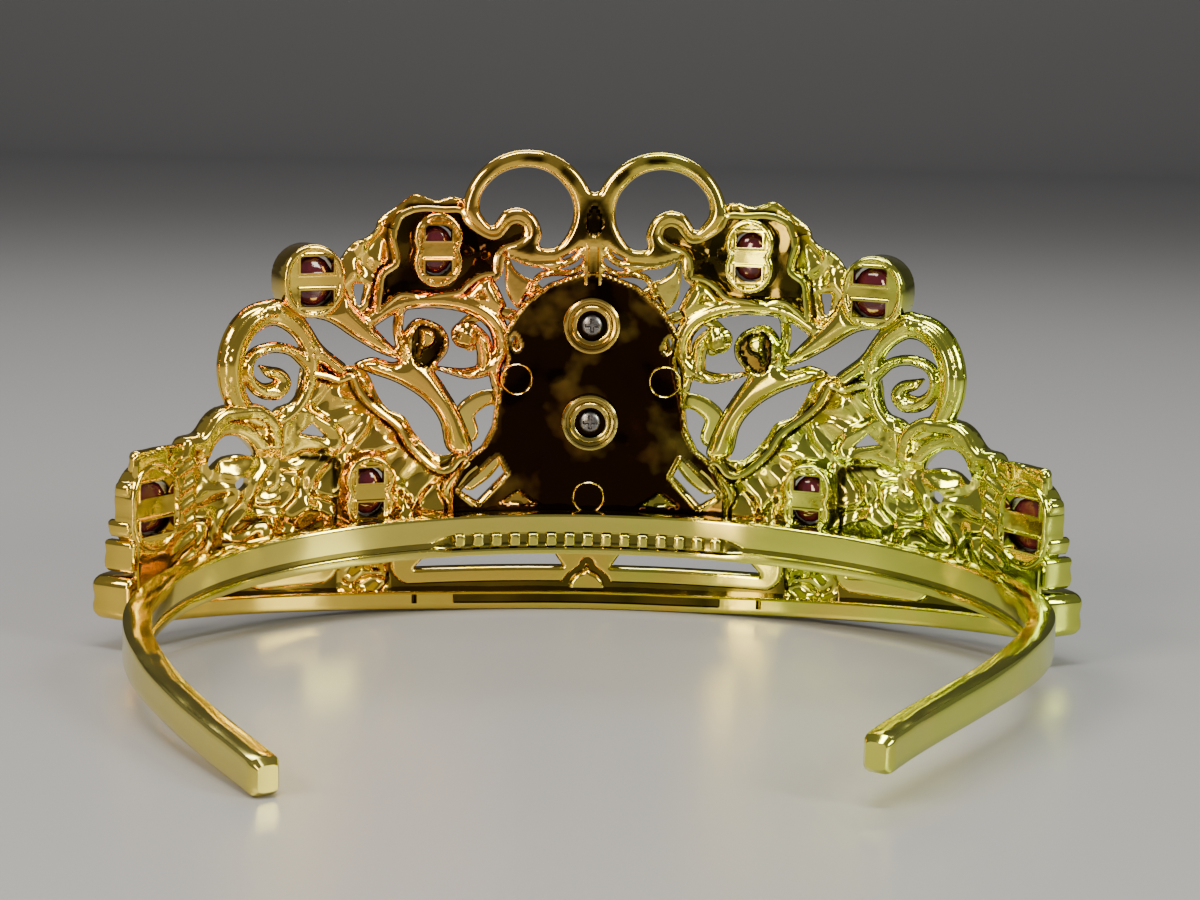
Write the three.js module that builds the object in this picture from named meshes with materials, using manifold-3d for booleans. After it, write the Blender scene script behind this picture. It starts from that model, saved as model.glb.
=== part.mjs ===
// Costume tiara: a gold-plated moulded plastic crown panel on an open head band.
// The panel is pierced scrollwork bent round the front of the head. Eight cups on it hold cut
// stones from the front, and a front medallion is screwed on from behind.
// Millimetres. +Z is up, -Y is the front (the outside) and the tiara stands on its rim and band ends.
import * as THREE from 'three';
import { mergeVertices } from 'three/addons/utils/BufferGeometryUtils.js';
import Module from 'manifold-3d';

const wasm = await Module();
wasm.setup();

// Driving sizes
const crownHeight = 75;        // rim underside to the top of the two arches
const panelHalfLength = 81;    // middle to end, measured along the bent panel
const panelHalfWidth = 72;     // half width of the ellipse that the panel's back follows
const panelBend = 52;          // depth of that ellipse, front to widest place
const plateThickness = 2.4;    // flat plate behind the rim frames and the medallion
const scrollThickness = 3.2;   // loose scrolls and arches
const reliefThickness = 4.6;   // raised leaf shells
const shellWall = 1.3;         // front wall left by the hollows at the back
const rimHeight = 3.0;
const rimThickness = 4.4;
const rimBackLip = 1.0;        // how far the rim stands behind the panel's back
const rimRise = 2.8;           // how much higher the rim is at its ends than in the middle
const bandThickness = 4.0;
const bandHeight = 6.6;
const bandTipHeight = 5.0;
const bandHalfWidth = 62.5;    // inside half width at the widest place
const bandFrontDepth = 45;     // inside front to the widest place
const bandLength = 100;        // inside front to the tips
const bandTipHalfGap = 38;     // inside half gap between the two tips
const bandFrontRise = 10.0;    // band underside above the table at the front
const rightArmLift = 4.2;      // the moulding is slightly sprung: the right tip stands off the table
const rightTipInset = 5.5;     // and inwards
const touchGap = 0.3;          // between pieces that meet
const stoneRise = 0.6;         // how far a stone's crown stands out of its cup
const cupWall = 1.1;
const cupBackWall = 1.3;       // wall with the two windows, behind each stone
const screwHeadRadius = 1.8;
const screwShankRadius = 0.9;
const screwLength = 6.5;
const bossRadius = 4.6;
const bossStandOut = 1.1;
const medallionThickness = 3.6;
const medallionStoneWidth = 15;
const medallionStoneHeight = 19;
const toothCount = 15;
const toothPitch = 2.95;

// The layout is drawn on a grid of 81 columns by 75 rows on the half panel, so that a column and
// a row are shares of the half length and of the crown's height.
const column = panelHalfLength / 81;
const row = crownHeight / 75;
const at = ([c, r]) => new THREE.Vector3(c * column, r * row, 0);

// Outlines and strokes in the flat
const sampleStep = 5.5;

function smoothPoints(points, closed) {
  const curve = new THREE.CatmullRomCurve3(points.map(at), closed, 'centripetal');
  const count = Math.max(6, Math.round(curve.getLength() / sampleStep));
  const found = curve.getPoints(count);
  if (closed) found.pop();
  return found;
}

function shapeOf(points) {
  return new THREE.Shape(points.map((p) => new THREE.Vector2(p.x, p.y)));
}

// A flat piece whose outline runs smoothly through a few points
const leaf = (points) => shapeOf(smoothPoints(points, true));

// A flat piece with straight sides
const polygon = (points) => shapeOf(points.map(at));

// A stroke of varying width along a smooth line, with a round end at each side
function stroke(points, widths) {
  const line = smoothPoints(points, false);
  const width = (t) => {
    const place = t * (widths.length - 1);
    const low = Math.min(widths.length - 2, Math.floor(place));
    return widths[low] + (widths[low + 1] - widths[low]) * (place - low);
  };
  const left = [];
  const right = [];
  line.forEach((p, i) => {
    const along = line[Math.min(i + 1, line.length - 1)].clone().sub(line[Math.max(i - 1, 0)]).normalize();
    const half = width(i / (line.length - 1)) / 2;
    left.push(new THREE.Vector3(p.x - along.y * half, p.y + along.x * half, 0));
    right.push(new THREE.Vector3(p.x + along.y * half, p.y - along.x * half, 0));
  });
  const cap = (centre, from, turns) => turns.map((a) => from.clone().sub(centre)
    .applyAxisAngle(new THREE.Vector3(0, 0, 1), a).add(centre));
  const quarter = [-Math.PI / 3, -2 * Math.PI / 3];
  const end = cap(line[line.length - 1], left[left.length - 1], quarter);
  const start = cap(line[0], right[0], quarter);
  return shapeOf([...left, ...end, ...right.reverse(), ...start].reverse());
}

function disc(centre, across, high = across, sides = 10) {
  const middle = at(centre);
  return shapeOf(Array.from({ length: sides }, (_, i) => {
    const a = (i + 0.5) * 2 * Math.PI / sides;
    return new THREE.Vector3(middle.x + across * Math.cos(a), middle.y + high * Math.sin(a), 0);
  }));
}

// Solids
function solidOf(geometry) {
  geometry.deleteAttribute('normal');
  geometry.deleteAttribute('uv');
  const merged = mergeVertices(geometry, 1e-4);
  return new wasm.Manifold(new wasm.Mesh({
    numProp: 3,
    vertProperties: Float32Array.from(merged.attributes.position.array),
    triVerts: Uint32Array.from(merged.index.array),
  }));
}

// A prism of a flat outline, from depth n0 to n1. Depth 0 is the panel's back, and the front is -Y.
function prism(shape, n0, n1) {
  const geometry = new THREE.ExtrudeGeometry(shape, {
    depth: n1 - n0, bevelEnabled: false, curveSegments: 8,
  });
  geometry.rotateX(Math.PI / 2);
  geometry.translate(0, -n0, 0);
  return solidOf(geometry);
}

function mirrored(geometrySolid) {
  const mesh = geometrySolid.getMesh();
  const points = Float32Array.from(mesh.vertProperties, (v, i) => (i % 3 === 0 ? -v : v));
  const triangles = Uint32Array.from(mesh.triVerts);
  for (let i = 0; i < triangles.length; i += 3) {
    [triangles[i], triangles[i + 1]] = [triangles[i + 1], triangles[i]];
  }
  return new wasm.Manifold(new wasm.Mesh({ numProp: 3, vertProperties: points, triVerts: triangles }));
}

const joined = (solids) => solids.reduce((all, one) => all.add(one));
const bothSides = (solid) => solid.add(mirrored(solid));

// The bend: arc length along the panel's ellipse to a place and its outward direction
const bendSteps = 2000;
const bendTable = (() => {
  const lengths = [0];
  for (let i = 1; i <= bendSteps; i += 1) {
    const angle = (i - 0.5) / bendSteps * Math.PI / 2;
    const speed = Math.hypot(panelHalfWidth * Math.cos(angle), panelBend * Math.sin(angle));
    lengths.push(lengths[i - 1] + speed * Math.PI / 2 / bendSteps);
  }
  return lengths;
})();

function bendAngle(s) {
  const length = Math.min(Math.abs(s), bendTable[bendSteps]);
  let low = 0;
  let high = bendSteps;
  while (high - low > 1) {
    const middle = (low + high) >> 1;
    if (bendTable[middle] <= length) low = middle; else high = middle;
  }
  const share = (length - bendTable[low]) / (bendTable[high] - bendTable[low]);
  return Math.sign(s) * (low + share) / bendSteps * Math.PI / 2;
}

function placeOnPanel(s, depth) {
  const angle = bendAngle(s);
  const out = new THREE.Vector2(panelBend * Math.sin(angle), -panelHalfWidth * Math.cos(angle)).normalize();
  return {
    x: panelHalfWidth * Math.sin(angle) + out.x * depth,
    y: panelBend * (1 - Math.cos(angle)) + out.y * depth,
    turn: Math.atan2(out.x, -out.y),
  };
}

// Cuts every triangle at the upright planes s = k * step, so that the flat mesh can be bent
function sliced(solid, step) {
  const mesh = solid.getMesh();
  const corner = (i) => [0, 1, 2].map((k) => mesh.vertProperties[3 * i + k]);
  let faces = [];
  for (let i = 0; i < mesh.triVerts.length; i += 3) {
    faces.push([0, 1, 2].map((k) => corner(mesh.triVerts[i + k])));
  }
  const reach = Math.ceil(panelHalfLength * 1.2 / step);
  for (let k = -reach; k <= reach; k += 1) {
    const plane = k * step;
    const next = [];
    for (const face of faces) {
      const side = face.map((p) => Math.sign(Math.abs(p[0] - plane) < 1e-4 ? 0 : p[0] - plane));
      if (!(side.includes(1) && side.includes(-1))) {
        next.push(face);
        continue;
      }
      const parts = { '-1': [], 1: [] };
      for (let j = 0; j < 3; j += 1) {
        const p = face[j];
        const q = face[(j + 1) % 3];
        if (side[j] !== 1) parts[-1].push(p);
        if (side[j] !== -1) parts[1].push(p);
        if (side[j] * side[(j + 1) % 3] === -1) {
          const [low, high] = p[0] < q[0] ? [p, q] : [q, p];
          const share = (plane - low[0]) / (high[0] - low[0]);
          const cut = [plane, low[1] + (high[1] - low[1]) * share, low[2] + (high[2] - low[2]) * share];
          parts[-1].push(cut);
          parts[1].push(cut);
        }
      }
      for (const part of Object.values(parts)) {
        for (let j = 2; j < part.length; j += 1) next.push([part[0], part[j - 1], part[j]]);
      }
    }
    faces = next;
  }
  return faces.flat(2);
}

const sliceStep = 12;

function bent(solid) {
  const numbers = sliced(solid, sliceStep);
  for (let i = 0; i < numbers.length; i += 3) {
    const place = placeOnPanel(numbers[i], -numbers[i + 1]);
    numbers[i] = place.x;
    numbers[i + 1] = place.y;
  }
  const geometry = new THREE.BufferGeometry();
  geometry.setAttribute('position', new THREE.Float32BufferAttribute(numbers, 3));
  return solidOf(geometry);
}

function geometryOf(solid) {
  const mesh = solid.getMesh();
  const geometry = new THREE.BufferGeometry();
  geometry.setAttribute('position', new THREE.Float32BufferAttribute(mesh.vertProperties, 3));
  geometry.setIndex(Array.from(mesh.triVerts));
  return geometry;
}

// Moves a solid that is made about a stone's own centre, facing -Y, to its place on the panel
function seated(geometry, s, z, depth) {
  const place = placeOnPanel(s, depth);
  geometry.rotateZ(place.turn);
  geometry.translate(place.x, place.y, z);
  return geometry;
}

// The eight cups: place on the layout grid, stone size, width of the two windows, depth to the front
const cups = [
  { name: 'top', centre: [25, 58.6], stoneWide: 6.0, stoneHigh: 8.0, windowWide: 4.3, front: 5.2 },
  { name: 'outer', centre: [45, 54], stoneWide: 7.4, stoneHigh: 8.4, windowWide: 5.6, front: 5.2 },
  { name: 'lower', centre: [35.8, 19.9], stoneWide: 6.0, stoneHigh: 8.0, windowWide: 4.3, front: 5.2 },
  { name: 'far', centre: [74.8, 21.3], stoneWide: 8.6, stoneHigh: 8.4, windowWide: 7.4, front: 3.8 },
];
const windowHigh = 2.5;
const windowPitch = 5.5;

// The rim's underside is flat in the middle and rises towards the two ends
const rimFlat = 12;
const rimUnder = (c) => rimRise * (Math.max(0, Math.abs(c) - rimFlat) / (65 - rimFlat)) ** 1.7;

function rimPiece() {
  const columns = [-78, -60, -42, -26, -rimFlat, rimFlat, 26, 42, 60, 78];
  const under = columns.map((c) => new THREE.Vector3(c * column, rimUnder(c), 0));
  const over = columns.map((c) => new THREE.Vector3(c * column, rimUnder(c) + rimHeight, 0));
  return prism(shapeOf([...under, ...over.reverse()]), -rimBackLip, rimThickness - rimBackLip);
}

// The low wall above the rim, pierced by the long slots
function baseWall() {
  const wall = prism(polygon([
    [-78, 4.2], [-40, 2.2], [0, 1.4], [40, 2.2], [78, 4.2], [78, 16.5], [-78, 16.5],
  ]), 0, plateThickness);
  const slots = [
    [[4, 7], [28.3, 7], [25, 10.8], [6.4, 10.8]],
    [[43, 8.2], [56, 9.2], [54, 11.6], [44.5, 11.2]],
  ];
  return slots.reduce((left, slot) => left.subtract(
    bothSides(prism(polygon(slot), -1, plateThickness + 1))), wall);
}

function centrePlate() {
  return prism(leaf([
    [0, 55], [7, 53.4], [11.6, 49.6], [14.2, 46], [13.6, 41], [15.8, 35], [16.4, 28], [20, 24.6],
    [23, 19], [22, 12], [-22, 12], [-23, 19], [-20, 24.6], [-16.4, 28], [-15.8, 35], [-13.6, 41],
    [-14.2, 46], [-11.6, 49.6], [-7, 53.4],
  ]), 0, plateThickness);
}

// Half of the pierced scrollwork, right of the middle as seen from the front's left
function archAndCurl() {
  const ring = prism(disc([10.6, 64.3], 10.75, 10.75, 20), 0, scrollThickness)
    .subtract(prism(disc([10.7, 64.4], 7.45, 7.45, 16), -1, scrollThickness + 1));
  const curl = prism(disc([12.1, 61.7], 3.7), 0, scrollThickness);
  const bridge = prism(stroke([
    [14, 58.8], [10, 57.9], [6, 58.1], [2, 60.4],
  ], [2.4, 2.2, 2.4, 3]), 0, scrollThickness);
  const web = prism(polygon([[0, 68.3], [0, 59], [4.6, 59.6], [3.5, 65]]), 0, scrollThickness);
  const stem = prism(polygon([[-1.7, 61], [-1.7, 53], [1.7, 53], [1.7, 61]]), 0, scrollThickness);
  return joined([ring, curl, bridge, web, stem]);
}

function upperLeaf() {
  const body = prism(leaf([
    [20.6, 67], [24.6, 66.4], [28.2, 67.5], [32, 64.9], [34.6, 62], [38, 59.8], [40.6, 56], [40, 52],
    [37, 47.6], [33, 49.4], [27, 50], [21, 50.6], [15.2, 51.4], [13.2, 54], [13.2, 58.5], [16, 60.2],
    [18.6, 63.6],
  ]), 0, reliefThickness);
  const hollow = prism(leaf([
    [28, 65], [22, 65], [20, 62.6], [16.6, 60], [15.4, 57], [17.6, 54.6], [21.4, 52], [27, 51],
    [33, 50.4], [33.8, 54.6], [31.6, 57.4], [31.6, 61.6],
  ]), -1, reliefThickness - shellWall);
  const slit = prism(polygon([
    [36.1, 53.2], [38.1, 53.4], [37.6, 50], [36.8, 49.8],
  ]), -1, reliefThickness + 1);
  return body.subtract(hollow).subtract(slit);
}

function innerRing() {
  const sweep = prism(stroke([
    [36, 47.2], [31, 50], [25, 50.5], [19, 49.6], [15.2, 47], [14.2, 43.5], [15.3, 40.2], [19, 38.3],
    [24.4, 39.4],
  ], [2.4, 2.6, 2.6, 2.6, 2.6, 2.4, 1.2]), 0, scrollThickness);
  const stalk = prism(stroke([
    [30.2, 49.6], [30.2, 45.4], [28.8, 41.4], [26.4, 38.6],
  ], [1.6, 1.8, 2.2, 2.2]), 0, scrollThickness);
  const curl = prism(disc([26.3, 43.4], 3.3), 0, scrollThickness);
  return joined([sweep, stalk, curl]);
}

function sweepingLeaf() {
  return prism(leaf([
    [43.4, 55], [40.4, 53.6], [36.6, 47.6], [30.8, 41.4], [26, 39.4], [23.4, 36], [20.6, 31.5], [18.9, 26],
    [21.2, 24.2], [23.4, 26.6], [24.7, 31], [27.2, 34.4], [31.2, 37.3], [35.2, 39.2], [38, 41.4],
    [35, 41.7], [37.6, 44.4], [42.2, 47.6], [47, 49.2],
  ]), 0, scrollThickness);
}

function outerLoop() {
  const ring = prism(disc([52.5, 41.2], 8.6, 9.5, 18), 0, scrollThickness)
    .subtract(prism(disc([51.4, 40.2], 5.5, 6.9, 14), -1, scrollThickness + 1));
  const spiral = prism(stroke([
    [45.6, 40.6], [48.6, 43], [52, 43.1], [55, 41.4], [55.2, 38.6], [53.4, 37], [50.9, 37.5],
  ], [2, 1.8, 1.8, 1.8, 2, 2.6, 3.2]), 0, scrollThickness);
  const cross = prism(stroke([
    [50, 49], [46, 45.4], [43.4, 42.4], [41.6, 39.6],
  ], [3, 2.8, 2.8, 3]), 0, scrollThickness);
  return joined([ring, spiral, cross]);
}

function lowerLeaf() {
  const body = prism(leaf([
    [46, 41], [41, 40], [37, 39.6], [33.6, 35], [29.6, 31.4], [27, 27.6], [24, 25], [21, 26.2], [19.4, 24],
    [22.4, 19], [22, 13], [40, 12], [53, 13], [53.6, 24], [51, 33], [47.6, 35],
  ]), 0, reliefThickness);
  const hollow = prism(leaf([
    [43.6, 37.6], [39.4, 37.2], [36.4, 34], [32, 30], [29, 26], [25, 21.6], [24, 18], [36, 17.4], [42, 18],
    [46, 18], [51.4, 17.8], [51, 23], [44, 25], [40.6, 29], [41, 34],
  ]), -1, reliefThickness - shellWall);
  const peephole = prism(polygon([[42.4, 28.8], [47.6, 30], [45, 31.6]]), -1, reliefThickness + 1);
  return body.subtract(hollow).subtract(peephole);
}

function sideLoop() {
  const ring = prism(leaf([
    [68, 30.4], [65, 31.6], [62.6, 34], [59.6, 35.2], [54, 34.6], [51, 30], [51, 14], [69, 14],
  ]), 0, scrollThickness);
  const opening = prism(leaf([
    [62.6, 25.4], [62.9, 28.6], [59.7, 30.8], [56.4, 29.2], [54.6, 26.6], [57, 27.1], [60, 27],
  ]), -1, scrollThickness + 1);
  const low = prism(polygon([[56, 17.2], [62, 18], [61, 19.6], [57, 19.6]]), -1, scrollThickness + 1);
  return ring.subtract(opening).subtract(low);
}

// The stepped end of the panel: lobes that stand further forward the lower they are
const endLobes = [
  { low: 26.4, high: 30.4, start: 73, reach: 79, front: 2.8 },
  { low: 23, high: 26, start: 77, reach: 80.6, front: 4.2 },
  { low: 17.2, high: 20.2, start: 77, reach: 80.6, front: 5.2 },
  { low: 11.8, high: 16.8, start: 73, reach: 80, front: 6.2 },
  { low: 4.4, high: 11.4, start: 73, reach: 81, front: 8.0 },
];

function panelEnd() {
  const body = prism(polygon([[66, 30.6], [73, 30.6], [79, 29], [79, 6.2], [66, 6.2]]), 0, 2.6);
  const lobes = endLobes.map(({ low, high, start, reach, front }) => prism(polygon([
    [start, low], [reach - 0.8, low], [reach, low + 0.9], [reach, high - 0.9], [reach - 0.8, high],
    [start, high],
  ]), 0, front));
  return joined([body, ...lobes]);
}

// A cup is a figure of eight that joins into the panel and opens to the front
function cupBody(cup) {
  const across = cup.stoneWide / 2 + cupWall;
  const lobe = (side) => prism(disc([cup.centre[0], cup.centre[1] + side * windowPitch / 2 / row * 0.62],
    across, across, 10), 0, cup.front);
  return lobe(1).add(lobe(-1));
}

function stoneProfile(cup, grow) {
  const wide = cup.stoneWide / 2 + grow;
  const high = cup.stoneHigh / 2 + grow;
  return { wide, high };
}

// An eight-sided ring of points, an oval of the given half sizes at one depth
function ovalRing(wide, high, depth, sides) {
  return Array.from({ length: sides }, (_, i) => {
    const a = (i + 0.5) * 2 * Math.PI / sides;
    return [wide * Math.cos(a), -depth, high * Math.sin(a)];
  });
}

// A closed solid through a few oval rings, each given as [share of the outline, depth]
function ovalLoft(wide, high, levels, sides) {
  const rings = levels.map(([share, depth]) => ovalRing(wide * share, high * share, depth, sides));
  const points = rings.flat(2);
  const index = [];
  for (let r = 0; r + 1 < rings.length; r += 1) {
    for (let i = 0; i < sides; i += 1) {
      const a = r * sides + i;
      const b = r * sides + (i + 1) % sides;
      index.push(a, b, a + sides, b, b + sides, a + sides);
    }
  }
  const last = (rings.length - 1) * sides;
  for (let i = 1; i + 1 < sides; i += 1) index.push(0, i + 1, i, last, last + i, last + i + 1);
  const geometry = new THREE.BufferGeometry();
  geometry.setAttribute('position', new THREE.Float32BufferAttribute(points, 3));
  geometry.setIndex(index);
  return geometry;
}

const stoneSides = 10;

function stoneGeometry(cup, side) {
  const { wide, high } = stoneProfile(cup, 0);
  const geometry = ovalLoft(wide, high, [
    [0.35, cupBackWall + touchGap], [1, cup.front - 1.6], [1, cup.front - 1], [0.6, cup.front + stoneRise],
  ], stoneSides);
  return seated(geometry, side * cup.centre[0] * column, cup.centre[1] * row, 0);
}

function stonePocket(cup, side) {
  const { wide, high } = stoneProfile(cup, touchGap);
  const geometry = ovalLoft(wide, high, [
    [0.78, cupBackWall], [1, cup.front - 2.2], [1, cup.front + 3],
  ], stoneSides);
  return solidOf(seated(geometry, side * cup.centre[0] * column, cup.centre[1] * row, 0));
}

function cupWindow(cup, side, up) {
  const geometry = new THREE.BoxGeometry(cup.windowWide, 2 * (cupBackWall + 1.5), windowHigh);
  const middle = cup.centre[1] * row + up * windowPitch / 2;
  return solidOf(seated(geometry, side * cup.centre[0] * column, middle, 0));
}

// Screw bosses on the middle plate, and the holes through them
const screwRows = [46.8, 31];
const screwNames = ['upper', 'lower'];
const headSeat = 1.0;          // depth at which a screw's head seats, in front of the plate's back

function boss(r) {
  return prism(disc([0, r], bossRadius, bossRadius, 14), -bossStandOut, plateThickness);
}

function bossHole(r) {
  const headRoom = screwHeadRadius + 0.6;
  const shankRoom = screwShankRadius + touchGap;
  const counterbore = prism(disc([0, r], headRoom, headRoom, 12), -bossStandOut - 1, headSeat);
  const clearance = prism(disc([0, r], shankRoom, shankRoom, 8), 0, plateThickness + 1);
  return counterbore.add(clearance);
}

function crownPanel() {
  const half = joined([
    archAndCurl(), upperLeaf(), innerRing(), outerLoop(), lowerLeaf(), sideLoop(), panelEnd(),
    sweepingLeaf(), prism(disc([45.8, 53.9], 5.7, 5.5, 14), 0, reliefThickness), ...cups.map(cupBody),
  ]);
  const sideSlots = joined([
    prism(polygon([[20.8, 19.6], [18, 17.8], [13.7, 22.3], [15, 25]]), -1, plateThickness + 1),
    prism(polygon([
      [16.9, 34], [16.9, 29.4], [18.8, 26.6], [20.4, 31], [22.6, 35.4],
    ]), -1, plateThickness + 1),
  ]);
  const flat = joined([rimPiece(), baseWall(), centrePlate(), ...screwRows.map(boss), bothSides(half)])
    .subtract(bothSides(sideSlots))
    .subtract(joined(screwRows.map(bossHole)));
  let panel = bent(flat);
  for (const side of [1, -1]) {
    for (const cup of cups) {
      panel = panel.subtract(stonePocket(cup, side))
        .subtract(cupWindow(cup, side, 1))
        .subtract(cupWindow(cup, side, -1));
    }
  }
  return geometryOf(panel);
}

// The front medallion: a pierced oval frame in front of the plate, with one big oval stone
const medallionRow = 38.5;
const medallionBack = scrollThickness + touchGap;
const medallionFront = medallionBack + medallionThickness;
const padRadius = 3.4;

// A point of a scroll, given in millimetres from the medallion's middle, as columns and rows
const fromMiddle = ([across, up]) => [across / column, medallionRow + up / row];

function medallionFrame() {
  const frame = prism(disc([0, medallionRow], 13, 16.5, 24), medallionBack, medallionFront);
  const scroll = joined([
    { line: [[7.4, 12.5], [10.2, 15.7], [8.4, 18.5], [4.8, 17.7]], widths: [2, 2, 1.8, 1.6] },
    { line: [[11, 8.5], [15, 10.1], [19.4, 7.9], [20.4, 5.9]], widths: [2, 1.8, 1.8, 2.8] },
    { line: [[12, -5.5], [17, -4.5], [20.4, -7.9], [18, -11.1]], widths: [2, 2, 2, 2.4] },
    { line: [[10, -10.5], [14, -13.5], [17.4, -18.1], [19, -19.1]], widths: [2.4, 2.2, 2, 1.6] },
  ].map(({ line, widths }) => prism(
    stroke(line.map(fromMiddle), widths), medallionBack, medallionBack + 1.8)));
  const pads = joined(screwRows.map((r) => prism(
    disc([0, r], padRadius, padRadius, 14), plateThickness + touchGap, medallionFront - 1.2)));
  return joined([frame, pads, bothSides(scroll)]);
}

function medallion() {
  const threads = joined(screwRows.map((r) => prism(
    disc([0, r], screwShankRadius + touchGap, screwShankRadius + touchGap, 8),
    0, headSeat + screwLength - 1.2)));
  const place = placeOnPanel(0, 0);
  const pocket = ovalLoft(medallionStoneWidth / 2 + touchGap, medallionStoneHeight / 2 + touchGap, [
    [0.9, medallionFront - 0.9], [1, medallionFront + 1],
  ], 32);
  pocket.translate(place.x, place.y, medallionRow * row);
  return geometryOf(bent(medallionFrame()).subtract(solidOf(pocket)).subtract(bent(threads)));
}

function medallionStone() {
  const geometry = ovalLoft(medallionStoneWidth / 2, medallionStoneHeight / 2, [
    [0.86, medallionFront - 0.9 + touchGap], [1, medallionFront + 0.2], [1, medallionFront + 0.8],
    [0.8, medallionFront + 2.4], [0.5, medallionFront + 3.2],
  ], 24);
  geometry.translate(0, 0, medallionRow * row);
  return geometry;
}

function screw(r) {
  const backOfHead = headSeat - touchGap - 1.3;
  const profile = [
    [0, backOfHead], [screwHeadRadius * 0.8, backOfHead], [screwHeadRadius, backOfHead + 0.5],
    [screwHeadRadius, headSeat - touchGap], [screwShankRadius, headSeat - touchGap],
    [screwShankRadius, headSeat + screwLength - 2.2], [0, headSeat + screwLength - 1.4],
  ].map(([radius, depth]) => new THREE.Vector2(radius, depth));
  const geometry = new THREE.LatheGeometry(profile, 16);
  geometry.rotateX(Math.PI);
  geometry.translate(0, 0, r * row);
  const solid = solidOf(geometry);
  const slot = (wide, high) => {
    const box = new THREE.BoxGeometry(wide, 1.2, high);
    box.translate(0, -backOfHead + 0.1, r * row);
    return solidOf(box);
  };
  return geometryOf(solid.subtract(slot(2.2, 0.5)).subtract(slot(0.5, 2.2)));
}

// The head band: an open hoop, its section lofted along the plan line
const bandInsideFront = bandThickness + touchGap;

function bandLine(tipHalfGap) {
  const front = [];
  const steps = 22;
  const mid = bandThickness / 2;
  for (let i = 0; i <= steps; i += 1) {
    const angle = i / steps * Math.PI / 2;
    front.push(new THREE.Vector3(
      (bandHalfWidth + mid) * Math.sin(angle),
      bandInsideFront + bandFrontDepth - (bandFrontDepth + mid) * Math.cos(angle), 0));
  }
  const widest = front[front.length - 1];
  const tip = new THREE.Vector3(tipHalfGap + mid * 0.8, bandInsideFront + bandLength, 0);
  const arm = new THREE.CubicBezierCurve3(widest,
    new THREE.Vector3(widest.x, widest.y + bandLength * 0.17, 0),
    new THREE.Vector3(tip.x + tipHalfGap * 0.31, tip.y - bandLength * 0.18, 0), tip);
  return [...front, ...arm.getPoints(16).slice(1)];
}

function headBand() {
  const half = bandLine(bandTipHalfGap);
  const sprung = bandLine(bandTipHalfGap - rightTipInset);
  const line = [...sprung.slice(1).reverse().map((p) => new THREE.Vector3(-p.x, p.y, 0)), ...half];
  const farthest = half[half.length - 1].y;
  const nearest = half[0].y;
  const rings = line.map((p, i) => {
    const along = line[Math.min(i + 1, line.length - 1)].clone().sub(line[Math.max(i - 1, 0)]).normalize();
    const back = (p.y - nearest) / (farthest - nearest);
    const under = bandFrontRise * (1 - back) + (p.x < 0 ? rightArmLift * back : 0);
    const over = under + bandHeight + (bandTipHeight - bandHeight) * back;
    const end = i === 0 || i === line.length - 1 ? 0.82 : 1;
    const across = new THREE.Vector3(along.y, -along.x, 0).multiplyScalar(bandThickness / 2 * end);
    const soften = end < 1 ? 0.4 : 0;
    return [
      [p.x - across.x, p.y - across.y, under], [p.x + across.x, p.y + across.y, under],
      [p.x + across.x, p.y + across.y, over - soften], [p.x - across.x, p.y - across.y, over - soften],
    ];
  });
  const index = [];
  for (let r = 0; r + 1 < rings.length; r += 1) {
    for (let i = 0; i < 4; i += 1) {
      const a = r * 4 + i;
      const b = r * 4 + (i + 1) % 4;
      index.push(a, a + 4, b, b, a + 4, b + 4);
    }
  }
  const last = (rings.length - 1) * 4;
  index.push(0, 1, 2, 0, 2, 3, last, last + 2, last + 1, last, last + 3, last + 2);
  const geometry = new THREE.BufferGeometry();
  geometry.setAttribute('position', new THREE.Float32BufferAttribute(rings.flat(2), 3));
  geometry.setIndex(index);
  return geometryOf(solidOf(geometry).add(gripTeeth(line)));
}

// A row of small grip teeth on the inside of the band's front
function gripTeeth(line) {
  const a = bandHalfWidth;
  const teeth = Array.from({ length: toothCount }, (_, i) => {
    const x = (i - (toothCount - 1) / 2) * toothPitch;
    const y = bandInsideFront + bandFrontDepth * (1 - Math.sqrt(1 - (x / a) ** 2));
    const tooth = new THREE.BoxGeometry(1.5, 1.6, 1.9);
    tooth.rotateZ(Math.atan2(bandFrontDepth * x / a, Math.sqrt(a * a - x * x)));
    tooth.translate(x, y, bandFrontRise + bandHeight * 0.42);
    return solidOf(tooth);
  });
  return joined(teeth);
}

// Finishes
const gold = () => new THREE.MeshStandardMaterial({ color: 0xc9a227, roughness: 0.12, metalness: 1 });
const ruby = () => new THREE.MeshStandardMaterial({ color: 0x6a1220, roughness: 0.05, metalness: 0 });
const steel = () => new THREE.MeshStandardMaterial({ color: 0xa9a9ad, roughness: 0.25, metalness: 1 });

const tiara = new THREE.Group();

function addPiece(name, geometry, material) {
  const mesh = new THREE.Mesh(geometry, material);
  mesh.name = name;
  tiara.add(mesh);
}

addPiece('crown_panel', crownPanel(), gold());
addPiece('head_band', headBand(), gold());
addPiece('medallion_frame', medallion(), gold());
addPiece('medallion_stone', medallionStone(), ruby());
screwRows.forEach((r, i) => addPiece(`screw_${screwNames[i]}`, screw(r), steel()));
for (const [side, word] of [[1, 'left'], [-1, 'right']]) {
  for (const cup of cups) addPiece(`stone_${cup.name}_${word}`, stoneGeometry(cup, side), ruby());
}

// The origin is the middle of the space the tiara takes, on the surface that it stands on
const space = new THREE.Box3().setFromObject(tiara);
const middle = space.getCenter(new THREE.Vector3());
tiara.position.set(-middle.x, -middle.y, -space.min.z);

export default tiara;
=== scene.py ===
"""A gold-plated costume tiara seen from behind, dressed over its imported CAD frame.

The panel is drawn flat, as u millimetres along it from the middle and z millimetres up, and
is then bent round the head. Depth n is counted from the panel's back towards its front.
"""
import math

import bpy
import numpy as np
from mathutils import Matrix, Vector


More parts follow.
